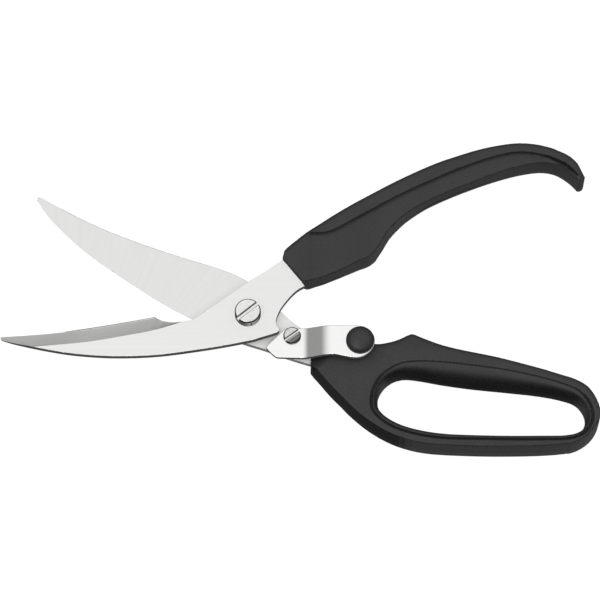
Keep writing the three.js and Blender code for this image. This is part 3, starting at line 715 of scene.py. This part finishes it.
def upper_handle(finish):
    """The hooked handle: a groove along its outer side, and a recessed panel inside the groove."""
    low, high = (corner[2] for corner in node_box("upper_handle"))
    plan = refined(slice_loops("upper_handle", low + 3)[0], HANDLE_SPACING)
    shoulder = smooth_step(26, 18, plan[:, 0]) * smooth_step(24, 27, plan[:, 1])
    outer = grown(plan, skin(plan, UPPER_FAR_SKIN, UPPER_NEAR_SKIN) - 0.35 * shoulder)
    outer = softened(outer, (23.6, 13), 4, 24)
    outer = softened(outer, (141.2, 58.7), 2.6, 24)
    outer_side = stretch(plan, (141.3, 60.4), (15.6, 28))
    inset = table(GROOVE_INSET, outer_side[:, 0])
    groove = (outer_side + left_normals(outer_side) * inset[:, None])
    groove = groove[(outer_side[:, 0] > 24) & (groove[:, 0] < 138.6)]
    for _ in range(12):
        groove[1:-1] = (groove[:-2] + 2 * groove[1:-1] + groove[2:]) / 4
    groove = smooth_run(without_short_steps(groove, HANDLE_SPACING * 0.8), HANDLE_SPACING)

    def top(points):
        inner = side_distance(points, groove)
        width, depth, dish = (table(pairs, points[:, 0]) for pairs in (GROOVE_WIDTH, GROOVE_DEPTH, GROOVE_DISH))
        ramp = depth * smooth_step(-0.1, 0.2, inner) * np.clip(1.1 - inner / width, 0, 1) ** 1.4
        channel = depth * smooth_step(-0.1, 0.15, inner) * (1 - smooth_step(width - 0.2, width + 0.15, inner))
        slanted = smooth_step(117, 127, points[:, 0])
        ramp = ramp * slanted + channel * (1 - slanted)
        level = 0.25 + (dish - 0.25) * np.exp(-np.maximum(inner - width, 0) / 1.2)
        below = np.maximum(level * smooth_step(width - 0.4, width, inner), ramp)
        below = np.where(inner > -0.1, below, 0) * smooth_step(25.2, 26.6, points[:, 0])
        front = high - below - front_edge(points, outer, UPPER_END_WALL)
        return np.maximum(front, bottom(points) + 0.4)

    def bottom(points):
        return low + rounded_edge(distance_to(points, outer), table(UPPER_BACK_EDGE, points[:, 0]))

    extra = [
        offset_rows(outer, FRONT_ROWS),
        offset_rows(outer, [3.4, 4.1, 4.9, 6]),
        beside(groove, [-2, -1.2, -0.6, -0.1, 0.05, 0.2, 0.4, 0.6, 0.8, 1.0, 1.3, 1.6, 2.0, 2.6, 3.4, 4.4]),
    ]
    piece = relief_solid("upper_grip", outer, [], top, bottom, extra, HANDLE_GRID, wall_rows=4)
    return finish_piece(piece, "upper_handle", "front_assembly", finish)


# Lower handle

LOOP_GROOVE = 2.15  # outside the finger loop's edge on the face, and less than that along the bottom bar
LOOP_GROOVE_BOTTOM = 1.65
LOOP_GROOVE_WIDTH = 0.95  # at the ends of the loop, and less along its two bars
LOOP_GROOVE_DEPTH = 1.1
LOOP_LIP = 0.25  # how far the lip round the loop stands below the face
LOOP_LIP_REACH = 0.6  # from the groove's middle to where the loop's wall starts to fall
BULGE_HEIGHT = 5.2  # where the loop's wall stands out furthest
PEAK_LEAN = 0.13  # how fast the front falls towards the thumb peak, beyond PEAK_START along Y
PEAK_START = -16.5
LEVER_CLEARANCE = 5.3  # the handle stays below its distance from the latch axis less this
TANG_COVER = 7.6  # the least height of the handle over the rear blade's tang
LOWER_BACK_EDGE = 1.4
LOWER_FAR_SKIN = ((54, 0.38), (65, 0.25), (75, 0.45), (95, 0.55), (120, 0.65), (125, 0.5), (130, 0.33), (135, 0.2),
                  (140, -0.2), (143, -0.4))
LOWER_NEAR_SKIN = ((27, 0.2), (31, -0.3), (38, -0.35), (42, 0), (50, 0.1), (70, 0), (125, 0), (132, 0.35),
                   (138, 0.5), (142, 0.4), (146, 0))
LOWER_END_WALL = ((26.3, -21.2), (26.4, -27))


def lower_handle(finish):
    """The finger-loop handle: a groove and a lip round the loop, a rounded wall in it, and a relief under the
    latch lever. A value on its points marks the walls that face little of the sky, for painted shade on them."""
    low, high = (corner[2] for corner in node_box("lower_handle"))
    plan = refined(slice_loops("lower_handle", low + 1)[0], HANDLE_SPACING)
    outer = grown(plan, skin(plan, LOWER_FAR_SKIN, LOWER_NEAR_SKIN))
    face = refined(slice_loops("lower_handle", high - 0.05)[1], HANDLE_SPACING)
    bulge_height = low + BULGE_HEIGHT
    bulge = refined(slice_loops("lower_handle", bulge_height)[1], HANDLE_SPACING)
    latch = round_node("latch_screw")[2]
    groove_reach = LOOP_GROOVE - (LOOP_GROOVE - LOOP_GROOVE_BOTTOM) * smooth_step(-46, -52, face[:, 1])
    outward = outward_normals(face)
    groove = face + outward * groove_reach[:, None]
    rim = face + outward * (groove_reach - LOOP_LIP_REACH)[:, None]

    def wall_share(points, start):
        """0 outside the line where the loop's wall starts, and 1 where the wall stands out furthest."""
        to_start, to_bulge = distance_to(points, start), distance_to(points, bulge)
        return np.where(inside(points, start), to_start / (to_start + to_bulge + 1e-9), 0)

    def top(points):
        edge = distance_to(points, outer)
        from_groove = distance_to(points, groove)
        within = inside(points, groove)
        facing = outward_y(points, groove)
        along_top = smooth_step(0.5, 0.95, facing)
        width = LOOP_GROOVE_WIDTH - 0.4 * along_top - 0.15 * smooth_step(-0.6, -0.95, facing)
        hollow = LOOP_GROOVE_DEPTH * (1 - 0.55 * along_top) * np.exp(-((from_groove / (width / 2)) ** 4))
        lip = LOOP_LIP * smooth_step(0, LOOP_LIP_REACH, from_groove) * within
        lean = PEAK_LEAN * np.maximum(points[:, 1] - PEAK_START, 0) * smooth_step(48, 56, points[:, 0])
        front = high - lean - lip - front_edge(points, outer, LOWER_END_WALL)
        arch = np.sqrt(np.maximum(1 - wall_share(points, rim) ** 2, 0))
        wall = bulge_height + 0.05 + (high - LOOP_LIP - bulge_height - 0.05) * arch
        height = np.where(inside(points, rim), wall, front) - hollow
        reach = lengths(points - latch)
        cap = np.maximum(reach - LEVER_CLEARANCE, TANG_COVER) - rounded_edge(edge, 0.5)
        return np.maximum(soft_least(height, cap, 2.0), bottom(points) + 0.4)

    def bottom(points):
        arch = np.sqrt(np.maximum(1 - wall_share(points, face) ** 2, 0))
        wall = bulge_height - 0.05 - (bulge_height - low - 0.3) * arch
        face_edge = np.where(inside(points, face), 0, rounded_edge(distance_to(points, face), 0.3))
        back = low + rounded_edge(distance_to(points, outer), LOWER_BACK_EDGE) + face_edge
        return np.where(inside(points, face), wall, back)

    wall_rows = [bulge + (rim[nearest_index(bulge, rim)] - bulge) * t for t in
                 (0.015, 0.05, 0.1, 0.17, 0.26, 0.36, 0.48, 0.6, 0.72, 0.84, 0.94)]
    extra = [
        offset_rows(outer, FRONT_ROWS),
        offset_rows(groove, [0.1, 0.2, 0.32, 0.46, 0.7, 1.1, 1.7], inward=-1),
        offset_rows(groove, [0.1, 0.2, 0.32, 0.46, LOOP_LIP_REACH]),
        groove,
        face,
        np.vstack(wall_rows),
        relief_rows(latch, LEVER_CLEARANCE + np.array([TANG_COVER, high - HANDLE_EDGE, high])),
    ]
    piece = relief_solid("lower_grip", outer, [bulge], top, bottom, extra, HANDLE_GRID, wall_rows=4)
    # Painted shade: the loop's walls under the top bar and the outer wall facing -X and -Y get a value that darkens
    # them and takes their gloss away.
    points = np.array([v.co[:2] for v in piece.data.vertices]) / MM
    out_x, out_y = outward_at(points, groove).T
    under_bar = np.maximum(smooth_step(0.3, 0.8, out_y), 0.4 * smooth_step(0.2, -0.4, out_x))
    wall_shade_share = smooth_step(0.05, 0.7, wall_share(points, rim)) * under_bar
    out_x, out_y = outward_at(points, outer).T
    left_wall = smooth_step(1.0, 0.75, distance_to(points, outer)) * smooth_step(-0.2, -0.45, out_x)
    wall_shade_share = np.maximum(wall_shade_share, 1.5 * left_wall * smooth_step(-0.3, -0.6, out_y))
    piece.data.attributes.new("painted_wall_shade", "FLOAT", "POINT").data.foreach_set("value", wall_shade_share)
    return finish_piece(piece, "lower_handle", "lower_assembly", finish)


def relief_rows(centre, radii):
    """Rings of points about the radii where the front starts to fall and stops falling."""
    steps = (-1.0, -0.5, -0.2, 0.2, 0.5, 1.0)
    return np.vstack([circle(*centre, radius + step, 240) for radius in radii for step in steps])


# Blades

BLADE_SPACING = 0.5
BLADE_GRID = 1.6
BLADE_SHARP = math.radians(9)  # keeps the line between flat and bevel crisp
FRONT_GROWTH = (  # along the lower edge
    (-104, -0.45), (-85, -0.35), (-70, -0.1), (-55, 0.1), (-35, 0.25), (-12, 0.4), (2, 0.25), (10, 0), (60, 0))
REAR_GROWTH = 0.25
TANG_TRIM = 0.25  # taken off the lower edge of the rear blade's tang
SHEARED_EDGE = 0.12  # the radius of the edges that aren't ground
HOLLOW = 0.04  # how far the ground bevels are hollowed


def front_growth(x, y):
    """How far the front blade's skin stands outside its CAD outline."""
    lower_edge = smooth_step(-6, -9, y)
    return lower_edge * table(FRONT_GROWTH, x) + (1 - lower_edge) * 0.15 * smooth_step(-20, -40, x)


def rear_growth(x, y):
    """How far the rear blade's skin stands outside its CAD outline."""
    tang_edge = smooth_step(-2, 6, x) * smooth_step(29, 26, x) * smooth_step(-10, -12.5, y)
    return REAR_GROWTH * smooth_step(2, -8, x) - TANG_TRIM * tang_edge


def blade(name, node, body, shoulder_height, full_height, hole_height, growth, finish, faces_up):
    """A blade with a ground bevel between its shoulder outline and its full outline."""
    low, high = (corner[2] for corner in node_box(node))
    full = refined(slice_loops(node, full_height)[0], BLADE_SPACING)
    full = grown(full, growth(*full.T))
    shoulder = refined(slice_loops(node, shoulder_height)[0], BLADE_SPACING)
    holes = [refined(hole, BLADE_SPACING) for hole in slice_loops(node, hole_height)[1:]]

    def ground(points):
        """How far the bevel takes the face down, growing from the shoulder to the cutting edge."""
        to_shoulder, to_edge = distance_to(points, shoulder), distance_to(points, full)
        share = to_shoulder / (to_shoulder + to_edge + 1e-9)
        on_bevel = ~inside(points, shoulder) & (to_shoulder > 0.02)
        drop = np.zeros(len(points))
        cut = cast_heights(node, points[on_bevel], faces_up)
        flat = (high - cut) if faces_up else (cut - low)
        drop[on_bevel] = np.maximum(flat, 0) + HOLLOW * 4 * (share * (1 - share))[on_bevel]
        return drop

    def plain(points):
        return rounded_edge(distance_to(points, full), SHEARED_EDGE)

    def upper(points):
        return high - (np.maximum(ground(points), plain(points)) if faces_up else plain(points))

    def lower(points):
        return low + (plain(points) if faces_up else np.maximum(ground(points), plain(points)))

    extra = [
        offset_rows(full, [0.03, 0.07, 0.12, 0.4]),
        offset_rows(shoulder, [0.05, 0.5]),
        offset_rows(shoulder, [0, 0.05, 0.25, 0.6, 1.1, 1.8, 2.8, 4.0, 5.2], inward=-1),
    ]
    piece = relief_solid(name, full, holes, upper, lower, extra, BLADE_GRID, sharp=BLADE_SHARP)
    return finish_piece(piece, node, body, finish)


# Screws, nut, washer, pin, knob and rivet, all round in plan


def round_solid(name, centre, radius, top, bottom, rings, rim_angles=(), extra=(), hole=0.0, count=96):
    """A relief solid over a circle or a ring. top and bottom take points measured from the centre."""
    angles = np.sort(np.concatenate([np.arange(count) * 2 * math.pi / count, np.array(rim_angles) % (2 * math.pi)]))
    rim = radius * np.column_stack([np.cos(angles), np.sin(angles)])
    holes = [circle(0, 0, hole, count // 2)] if hole else []
    filling = [circle(0, 0, ring, max(16, int(count * min(1, ring / radius + 0.2)))) for ring in rings] + list(extra)
    piece = relief_solid(name, rim, holes, top, bottom, filling, radius / 9)
    piece.data.transform(Matrix.Translation((centre[0] * MM, centre[1] * MM, 0)))
    return piece


def slotted_screw(name, node, shank_radius, head_bottom, slot_width, slot_depth, slot_angle, finish):
    """A screw head with a straight slot, its lips worn a little, over a plain shank."""
    low, high, centre, radius = round_node(node)
    angle = math.radians(slot_angle)
    across = np.array([-math.sin(angle), math.cos(angle)])
    along = np.array([math.cos(angle), math.sin(angle)])
    half = slot_width / 2
    steps = (half - 0.03, half + 0.01, half + 0.12, half + 0.2)

    def top(points):
        reach = lengths(points)
        off = abs(points @ across)
        in_slot = off < half - 0.005
        lip = 0.14 * smooth_step(half + 0.2, half, off)
        face = high - rounded_edge(radius - reach, 0.7) - lip
        return np.where(in_slot, high - slot_depth, face)

    def bottom(points):
        reach = lengths(points)
        shank_end = low + 0.3 * smooth_step(shank_radius - 0.3, shank_radius, reach)
        return np.where(reach < shank_radius + 0.01, shank_end, head_bottom)

    stations = np.linspace(-radius, radius, 61)
    lines = [along * t + across * step * sign for t in stations for step in steps for sign in (-1, 1)]
    lines = np.array([p for p in lines if np.linalg.norm(p) < radius - 0.02])
    rim = [base + sign * math.asin(step / radius)
           for sign in (-1, 1) for step in steps for base in (angle, angle + math.pi)]
    rings = [radius - s for s in (0.02, 0.06, 0.12, 0.2, 0.3, 0.42, 0.55, 0.7)]
    rings += [shank_radius, shank_radius + 0.02, shank_radius - 0.3]
    piece = round_solid(name, centre, radius, top, bottom, rings, rim, [lines])
    return finish_piece(piece, node, "lower_assembly", finish)


def pivot_nut(finish):
    """A round nut, open at the top for the screw, with two spanner holes in its back."""
    low, high, centre, radius = round_node("pivot_nut")
    bore, floor = 3.05, 1.2
    spanner, spanner_radius, spanner_depth = 4.4, 0.8, 0.9

    def top(points):
        reach = lengths(points)
        return np.where(reach < bore - 0.005, floor, high - rounded_edge(radius - reach, 0.15))

    def bottom(points):
        reach = lengths(points)
        hole = lengths(abs(points) - (spanner, 0))
        return low + np.where(hole < spanner_radius - 0.01, spanner_depth, rounded_edge(radius - reach, 0.6))

    rings = [radius - s for s in (0.05, 0.12, 0.25, 0.4, 0.6)] + [bore, bore - 0.02]
    spots = [circle(sign * spanner, 0, spanner_radius - s, 24) for sign in (-1, 1) for s in (0, 0.03)]
    piece = round_solid("nut", (0, 0), radius, top, bottom, rings, extra=spots)
    return finish_piece(piece, "pivot_nut", "lower_assembly", finish)


def wave_washer(finish):
    low, high, centre, radius = round_node("latch_washer")
    swell = 0.04

    def wave(points):
        return swell * np.cos(3 * np.arctan2(points[:, 1], points[:, 0]))

    def top(points):
        return high - swell + wave(points) - rounded_edge(radius - lengths(points), 0.08)

    def bottom(points):
        return low + swell + wave(points)

    piece = round_solid("washer", centre, radius, top, bottom, [radius - 0.04, radius - 0.08, 2.8, 2.4], hole=2.07)
    return finish_piece(piece, "latch_washer", "lower_assembly", finish)


def round_pin(finish):
    low, high, centre, radius = round_node("stop_pin")

    def end(points):
        return rounded_edge(radius - lengths(points), 0.25)

    rings = [radius - s for s in (0.03, 0.1, 0.2, 0.3)]
    piece = round_solid("limit_pin", centre, radius, lambda p: high - end(p), lambda p: low + end(p), rings, count=40)
    return finish_piece(piece, "stop_pin", "lower_assembly", finish)


def knob(finish):
    """A dome on a short wall, hollow underneath for its rivet."""
    low, high, centre, radius = round_node("latch_knob")
    wall, rivet, rivet_reach = 1.3, 1.55, 2.05

    def top(points):
        share = lengths(points) / radius
        return low + wall + (high - low - wall) * np.sqrt(np.maximum(1 - share**2.3, 0))

    def bottom(points):
        reach = lengths(points)
        return low + np.where(reach < rivet - 0.01, rivet_reach, rounded_edge(radius - reach, 0.3))

    rings = [radius * s for s in (0.998, 0.99, 0.975, 0.95, 0.92, 0.88, 0.83, 0.77, 0.7)] + [rivet, rivet - 0.03]
    piece = round_solid("button", centre, radius, top, bottom, rings)
    return finish_piece(piece, "latch_knob", "latch", finish)


def countersunk_rivet(finish):
    low, high, centre, head = round_node("knob_rivet")
    neck = 1.5

    def top(points):
        reach = lengths(points)
        return np.where(reach < neck, high - rounded_edge(neck - reach, 0.2), low + 0.2 + (head - reach))

    def bottom(points):
        return low + rounded_edge(head - lengths(points), 0.12)

    rings = [head - 0.05, head - 0.12, 2, neck + 0.02, neck - 0.01, neck - 0.1, neck - 0.2]
    piece = round_solid("rivet", centre, head, top, bottom, rings, count=48)
    return finish_piece(piece, "knob_rivet", "latch", finish)


# Latch lever

LEVER_SHEET = 1.8
LEVER_JOG = (23.4, 33.2)
LEVER_BENDS = (3.3, 5.8)  # lengths over which the lower and the upper bend are rounded
LEVER_EDGE = 0.28


def bent(x, start, end, low, high):
    """A height that runs level, slopes from start to end, and runs level again, with rounded bends."""
    slope = (high - low) / (end - start)

    def ease(t, bend):
        return np.where(t <= -bend / 2, 0, np.where(t >= bend / 2, t, (t + bend / 2) ** 2 / (2 * bend)))

    return low + slope * (ease(x - start, LEVER_BENDS[0]) - ease(x - end, LEVER_BENDS[1]))


def lever(finish):
    low, high = (corner[2] for corner in node_box("latch_lever"))
    near = refined(slice_loops("latch_lever", low + 0.9)[0], 0.4)
    far = refined(slice_loops("latch_lever", high - 0.9)[0], 0.4)
    left_end, right_start = LEVER_JOG[0] - 1.5, LEVER_JOG[1] + 2.5
    left = open_run(near[near[:, 0] < left_end], near, left_end)
    right = open_run(far[far[:, 0] > right_start], far, right_start)
    plan = refined(np.vstack([left, right]), 0.35)
    pivot = slice_loops("latch_lever", low + 0.9)[1]
    *_, rivet, rivet_radius = round_node("knob_rivet")
    rivet_hole = circle(*rivet, rivet_radius + 0.05, 48)
    start, end = LEVER_JOG
    rise = high - low - LEVER_SHEET
    slope = rise / (end - start)
    shift = LEVER_SHEET * (math.hypot(1, slope) - 1) / slope

    def rounded(points):
        return rounded_edge(distance_to(points, plan), LEVER_EDGE)

    def top(points):
        return bent(points[:, 0], start, end, low + LEVER_SHEET, high) - rounded(points)

    def bottom(points):
        return bent(points[:, 0], start + shift, end + shift, low, high - LEVER_SHEET) + rounded(points)

    extra = [offset_rows(plan, [0.03, 0.08, 0.16, 0.28, 0.6])]
    extra.append(grid_points(np.array([[start - 3, -22], [end + 5, -4]]), 0.45))
    piece = relief_solid("lever_plate", plan, [pivot, rivet_hole], top, bottom, extra, 0.9)
    return finish_piece(piece, "latch_lever", "latch", finish)


def open_run(points, loop, cut):
    """The points of an anticlockwise loop on one side of a cut, in order from where the loop enters that side."""
    side = (loop[:, 0] < cut) if points[0, 0] < cut else (loop[:, 0] > cut)
    enter = next(i for i in range(len(loop)) if side[i] and not side[i - 1])
    rolled, rolled_side = np.roll(loop, -enter, 0), np.roll(side, -enter)
    return rolled[rolled_side]


# Opening spring


def coil_spring(finish):
    low, high = node_box("opening_spring")
    slide = (low + high)[2] / 2
    track, coil, wire, turns = 8.5, 1.0, 0.26, 8
    first, last = math.radians(148), math.radians(217)
    steps, sides = turns * 20, 10
    rings = []
    for i in range(steps + 1):
        t = i / steps
        angle = first + (last - first) * t
        turn = t * turns * 2 * math.pi
        out = Vector((math.cos(angle), math.sin(angle), 0))
        centre = out * (track + coil * math.cos(turn)) + Vector((0, 0, slide + coil * math.sin(turn)))
        radial = out * math.cos(turn) + Vector((0, 0, math.sin(turn)))
        forward = Vector((-out.y, out.x, 0)) * (track * (last - first) / (turns * 2 * math.pi))
        forward += (-out * math.sin(turn) + Vector((0, 0, math.cos(turn)))) * coil
        across = forward.normalized().cross(radial)
        taper = wire * (0.55 if i in (0, steps) else 1)
        rings.append([tuple(centre + (radial * math.cos(a) + across * math.sin(a)) * taper)
                      for a in (k * 2 * math.pi / sides for k in range(sides))])
    coords = [p for ring in rings for p in ring]
    polygons = [[i * sides + k, i * sides + (k + 1) % sides, (i + 1) * sides + (k + 1) % sides, (i + 1) * sides + k]
                for i in range(steps) for k in range(sides)]
    polygons.append(list(range(sides))[::-1])
    polygons.append([steps * sides + k for k in range(sides)])
    piece = mesh_object("coil", coords, polygons)
    bm = bmesh.new()
    bm.from_mesh(piece.data)
    bmesh.ops.recalc_face_normals(bm, faces=bm.faces)
    bm.to_mesh(piece.data)
    bm.free()
    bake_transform(piece)
    return finish_piece(piece, "opening_spring", None, finish)


# ---- The shears ----

FAN_CENTRE = (-74, -63)  # where the rear blade's grinding lines would meet
PIVOT_SLOT_ANGLE = 39.5
LATCH_SLOT_ANGLE = 36.5

# Each edge value is the grey of the painted shade on that steel's sideways-facing surfaces.
blade_front = steel("front_blade_steel", (0.862, 0.862, 0.85), 0.42, brushed(0.12, 2), edge=0.17)
blade_rear = steel("rear_blade_steel", (0.80, 0.80, 0.785), 0.4, fanned(FAN_CENTRE), edge=0.5, side_shade_span=(0.1, 0.3),
                   streak=0.05, contact_shade_reach=0.004)
sheet = steel("lever_sheet", (0.93, 0.93, 0.92), 0.35, brushed(0.02, 2), edge=0.12, streak=0.015)
# The stops across each slot paint light and shade on the screw faces: darker bands on the latch screw's lower half.
pivot_steel = turned("pivot_screw_steel", (0.82, 0.82, 0.805), "pivot_screw", PIVOT_SLOT_ANGLE, (
    (-5, 0.95), (0, 1.0), (5, 1.0)))
latch_steel = turned("latch_screw_steel", (0.68, 0.68, 0.67), "latch_screw", LATCH_SLOT_ANGLE, (
    (-2.8, 0.15), (-2.1, 0.35), (-1.6, 0.15), (-1.1, 0.5), (-0.7, 0.6), (-0.45, 1.0), (3, 1.0)))
turned_steel = steel("pin_steel", (0.7, 0.7, 0.69), 0.3, brushed(0.6, 0.5))
wire = steel("spring_wire", (0.6, 0.6, 0.59), 0.3, brushed())
black = plastic("handle_black", (0.033, 0.033, 0.0334), 0.5, contact_shade_reach=0.007)
knob_black = plastic("knob_black", (0.033, 0.033, 0.0334), 0.45, 0.7, contact_shade_reach=0.001)

front_low, front_high = (corner[2] for corner in node_box("front_blade"))
rear_low, rear_high = (corner[2] for corner in node_box("rear_blade"))

front_shear = blade("front_shear", "front_blade", "front_assembly", front_high - 0.03, front_low + 0.1,
                    front_high - 0.5, front_growth, (blade_front, "blade_steel"), True)
rear_shear = blade("rear_shear", "rear_blade", "lower_assembly", rear_low + 0.03, rear_high - 0.05, rear_low + 0.5,
                   rear_growth, (blade_rear, "blade_steel"), False)
upper_grip = upper_handle((black, "handle_plastic"))
lower_grip = lower_handle((black, "handle_plastic"))
pivot_bolt = slotted_screw("pivot_bolt", "pivot_screw", 3, front_high + 0.05, 1.4, 1.5, PIVOT_SLOT_ANGLE,
                           (pivot_steel, "screw_steel"))
latch_bolt = slotted_screw("latch_bolt", "latch_screw", 2, round_node("latch_screw")[1] - 1.85, 1.0, 1.0,
                           LATCH_SLOT_ANGLE, (latch_steel, "screw_steel"))
pivot_nut((turned_steel, "screw_steel"))
wave_washer((wire, "spring_steel"))
round_pin((turned_steel, "screw_steel"))
lever_plate = lever((sheet, "lever_steel"))
button = knob((knob_black, "knob_plastic"))
countersunk_rivet((turned_steel, "screw_steel"))
coil_spring((wire, "spring_steel"))
for piece in (pivot_bolt, latch_bolt, button, front_shear, rear_shear, lever_plate, upper_grip, lower_grip):
    piece.visible_glossy = False  # satin steel carries no image of its neighbours


# ---- Floor, light and camera ----


def floor():
    """A plain white floor that lights nothing itself."""
    size = 6
    mesh = bpy.data.meshes.new("floor")
    mesh.from_pydata([(-size, -size, 0), (size, -size, 0), (size, size, 0), (-size, size, 0)], [], [(0, 1, 2, 3)])
    piece = bpy.data.objects.new("floor", mesh)
    bpy.context.scene.collection.objects.link(piece)
    piece.location.z = -0.0002
    material = bpy.data.materials.new("floor_white")
    material.use_nodes = True
    surface = material.node_tree.nodes["Principled BSDF"]
    surface.inputs["Base Color"].default_value = (0.12, 0.12, 0.12, 1)
    surface.inputs["Specular IOR Level"].default_value = 0
    surface.inputs["Roughness"].default_value = 1
    surface.inputs["Emission Color"].default_value = (1, 1, 1, 1)
    surface.inputs["Emission Strength"].default_value = 0.97
    piece.data.materials.append(material)
    piece.visible_glossy = False
    piece.visible_diffuse = False


def sky():
    """A bright soft sky overhead that darkens towards the horizon, over a dimmer ground."""
    world = bpy.data.worlds.new("studio")
    bpy.context.scene.world = world
    s = Shader(world)
    background = s.tree.nodes["Background"]
    coords = s.node("ShaderNodeTexCoord")
    split = s.node("ShaderNodeSeparateXYZ")
    s.link(coords.outputs["Generated"], split.inputs[0])

    def profile(axis, *stops):
        """Half the brightness along one axis of the view, from (-1 to 1, brightness) stops."""
        greys = [((position + 1) / 2, (value / 2,) * 3) for position, value in stops]
        return s.ramp(s.spread(split.outputs[axis], 0, 1, -1, 1), *greys)

    height = profile("Z", (-1, 0.62), (-0.5, 0.5), (-0.2, 0.2), (0, 0.12), (0.2, 0.17), (0.32, 0.26), (0.42, 0.43),
                     (0.6, 0.8), (0.8, 1.0), (1, 1.0))
    depth = profile("Y", (-0.9, 0.55), (-0.5, 0.56), (0, 0.78), (0.3, 1.05), (1, 1.05))
    sky_side = profile("X", (-1, 0.25), (-0.8, 0.25), (-0.4, 0.6), (0, 1.0), (0.5, 0.8), (1, 0.5))
    horizon_side = profile("X", (-1, 2.0), (-0.5, 1.5), (0, 1.0), (1, 1.0))
    ground_side = profile("X", (-1, 1.2), (-0.4, 1.1), (0, 1.2), (0.15, 1.35), (0.5, 1.5))
    ground_depth = profile("Y", (-1, 1.0), (0, 0.8), (0.25, 0.15), (1, 0.08))
    half = (0.5, 0.5, 0.5)
    overall = s.product(height, depth)
    sky_share, horizon_share, ground_share = (
        s.spread(split.outputs["Z"], 1, 0, *span) for span in ((0.45, 0.8), (0.1, 0.35), (-0.3, 0.1)))
    sided = s.mix(sky_share, half, sky_side)
    sided = s.mix(horizon_share, sided, horizon_side)
    ground = s.product(s.product(ground_side, ground_depth), (2, 2, 2))
    sided = s.mix(ground_share, sided, ground)
    s.link(s.product(overall, sided), background.inputs["Color"])
    background.inputs["Strength"].default_value = 8.0


def area_light(name, place, target, size, power):
    data = bpy.data.lights.new(name, "AREA")
    data.shape = "DISK"
    data.size = size
    data.energy = power
    light = bpy.data.objects.new(name, data)
    light.location = place
    light.rotation_euler = (Vector(target) - Vector(place)).to_track_quat("-Z", "Y").to_euler()
    bpy.context.scene.collection.objects.link(light)


def camera():
    low, high = np.array(cad_bounds[0]), np.array(cad_bounds[1])
    middle = (low + high) / 2
    aim = Vector((middle[0] + AIM_OFFSET[0] * MM, middle[1] + AIM_OFFSET[1] * MM, AIM_HEIGHT * MM))
    data = bpy.data.cameras.new("camera")
    data.lens = CAMERA_LENS
    data.sensor_width = CAMERA_SENSOR
    piece = bpy.data.objects.new("camera", data)
    back = Vector((0, -math.sin(CAMERA_TILT), math.cos(CAMERA_TILT))) * CAMERA_DISTANCE * MM
    piece.location = aim + back
    piece.rotation_euler = (CAMERA_TILT, 0, 0)
    bpy.context.scene.collection.objects.link(piece)
    bpy.context.scene.camera = piece


floor()
sky()
area_light("key", (-0.35, -0.5, 1.2), (0.02, 0, 0), 0.7, 4)
camera()
bpy.context.scene.view_settings.view_transform = "Standard"
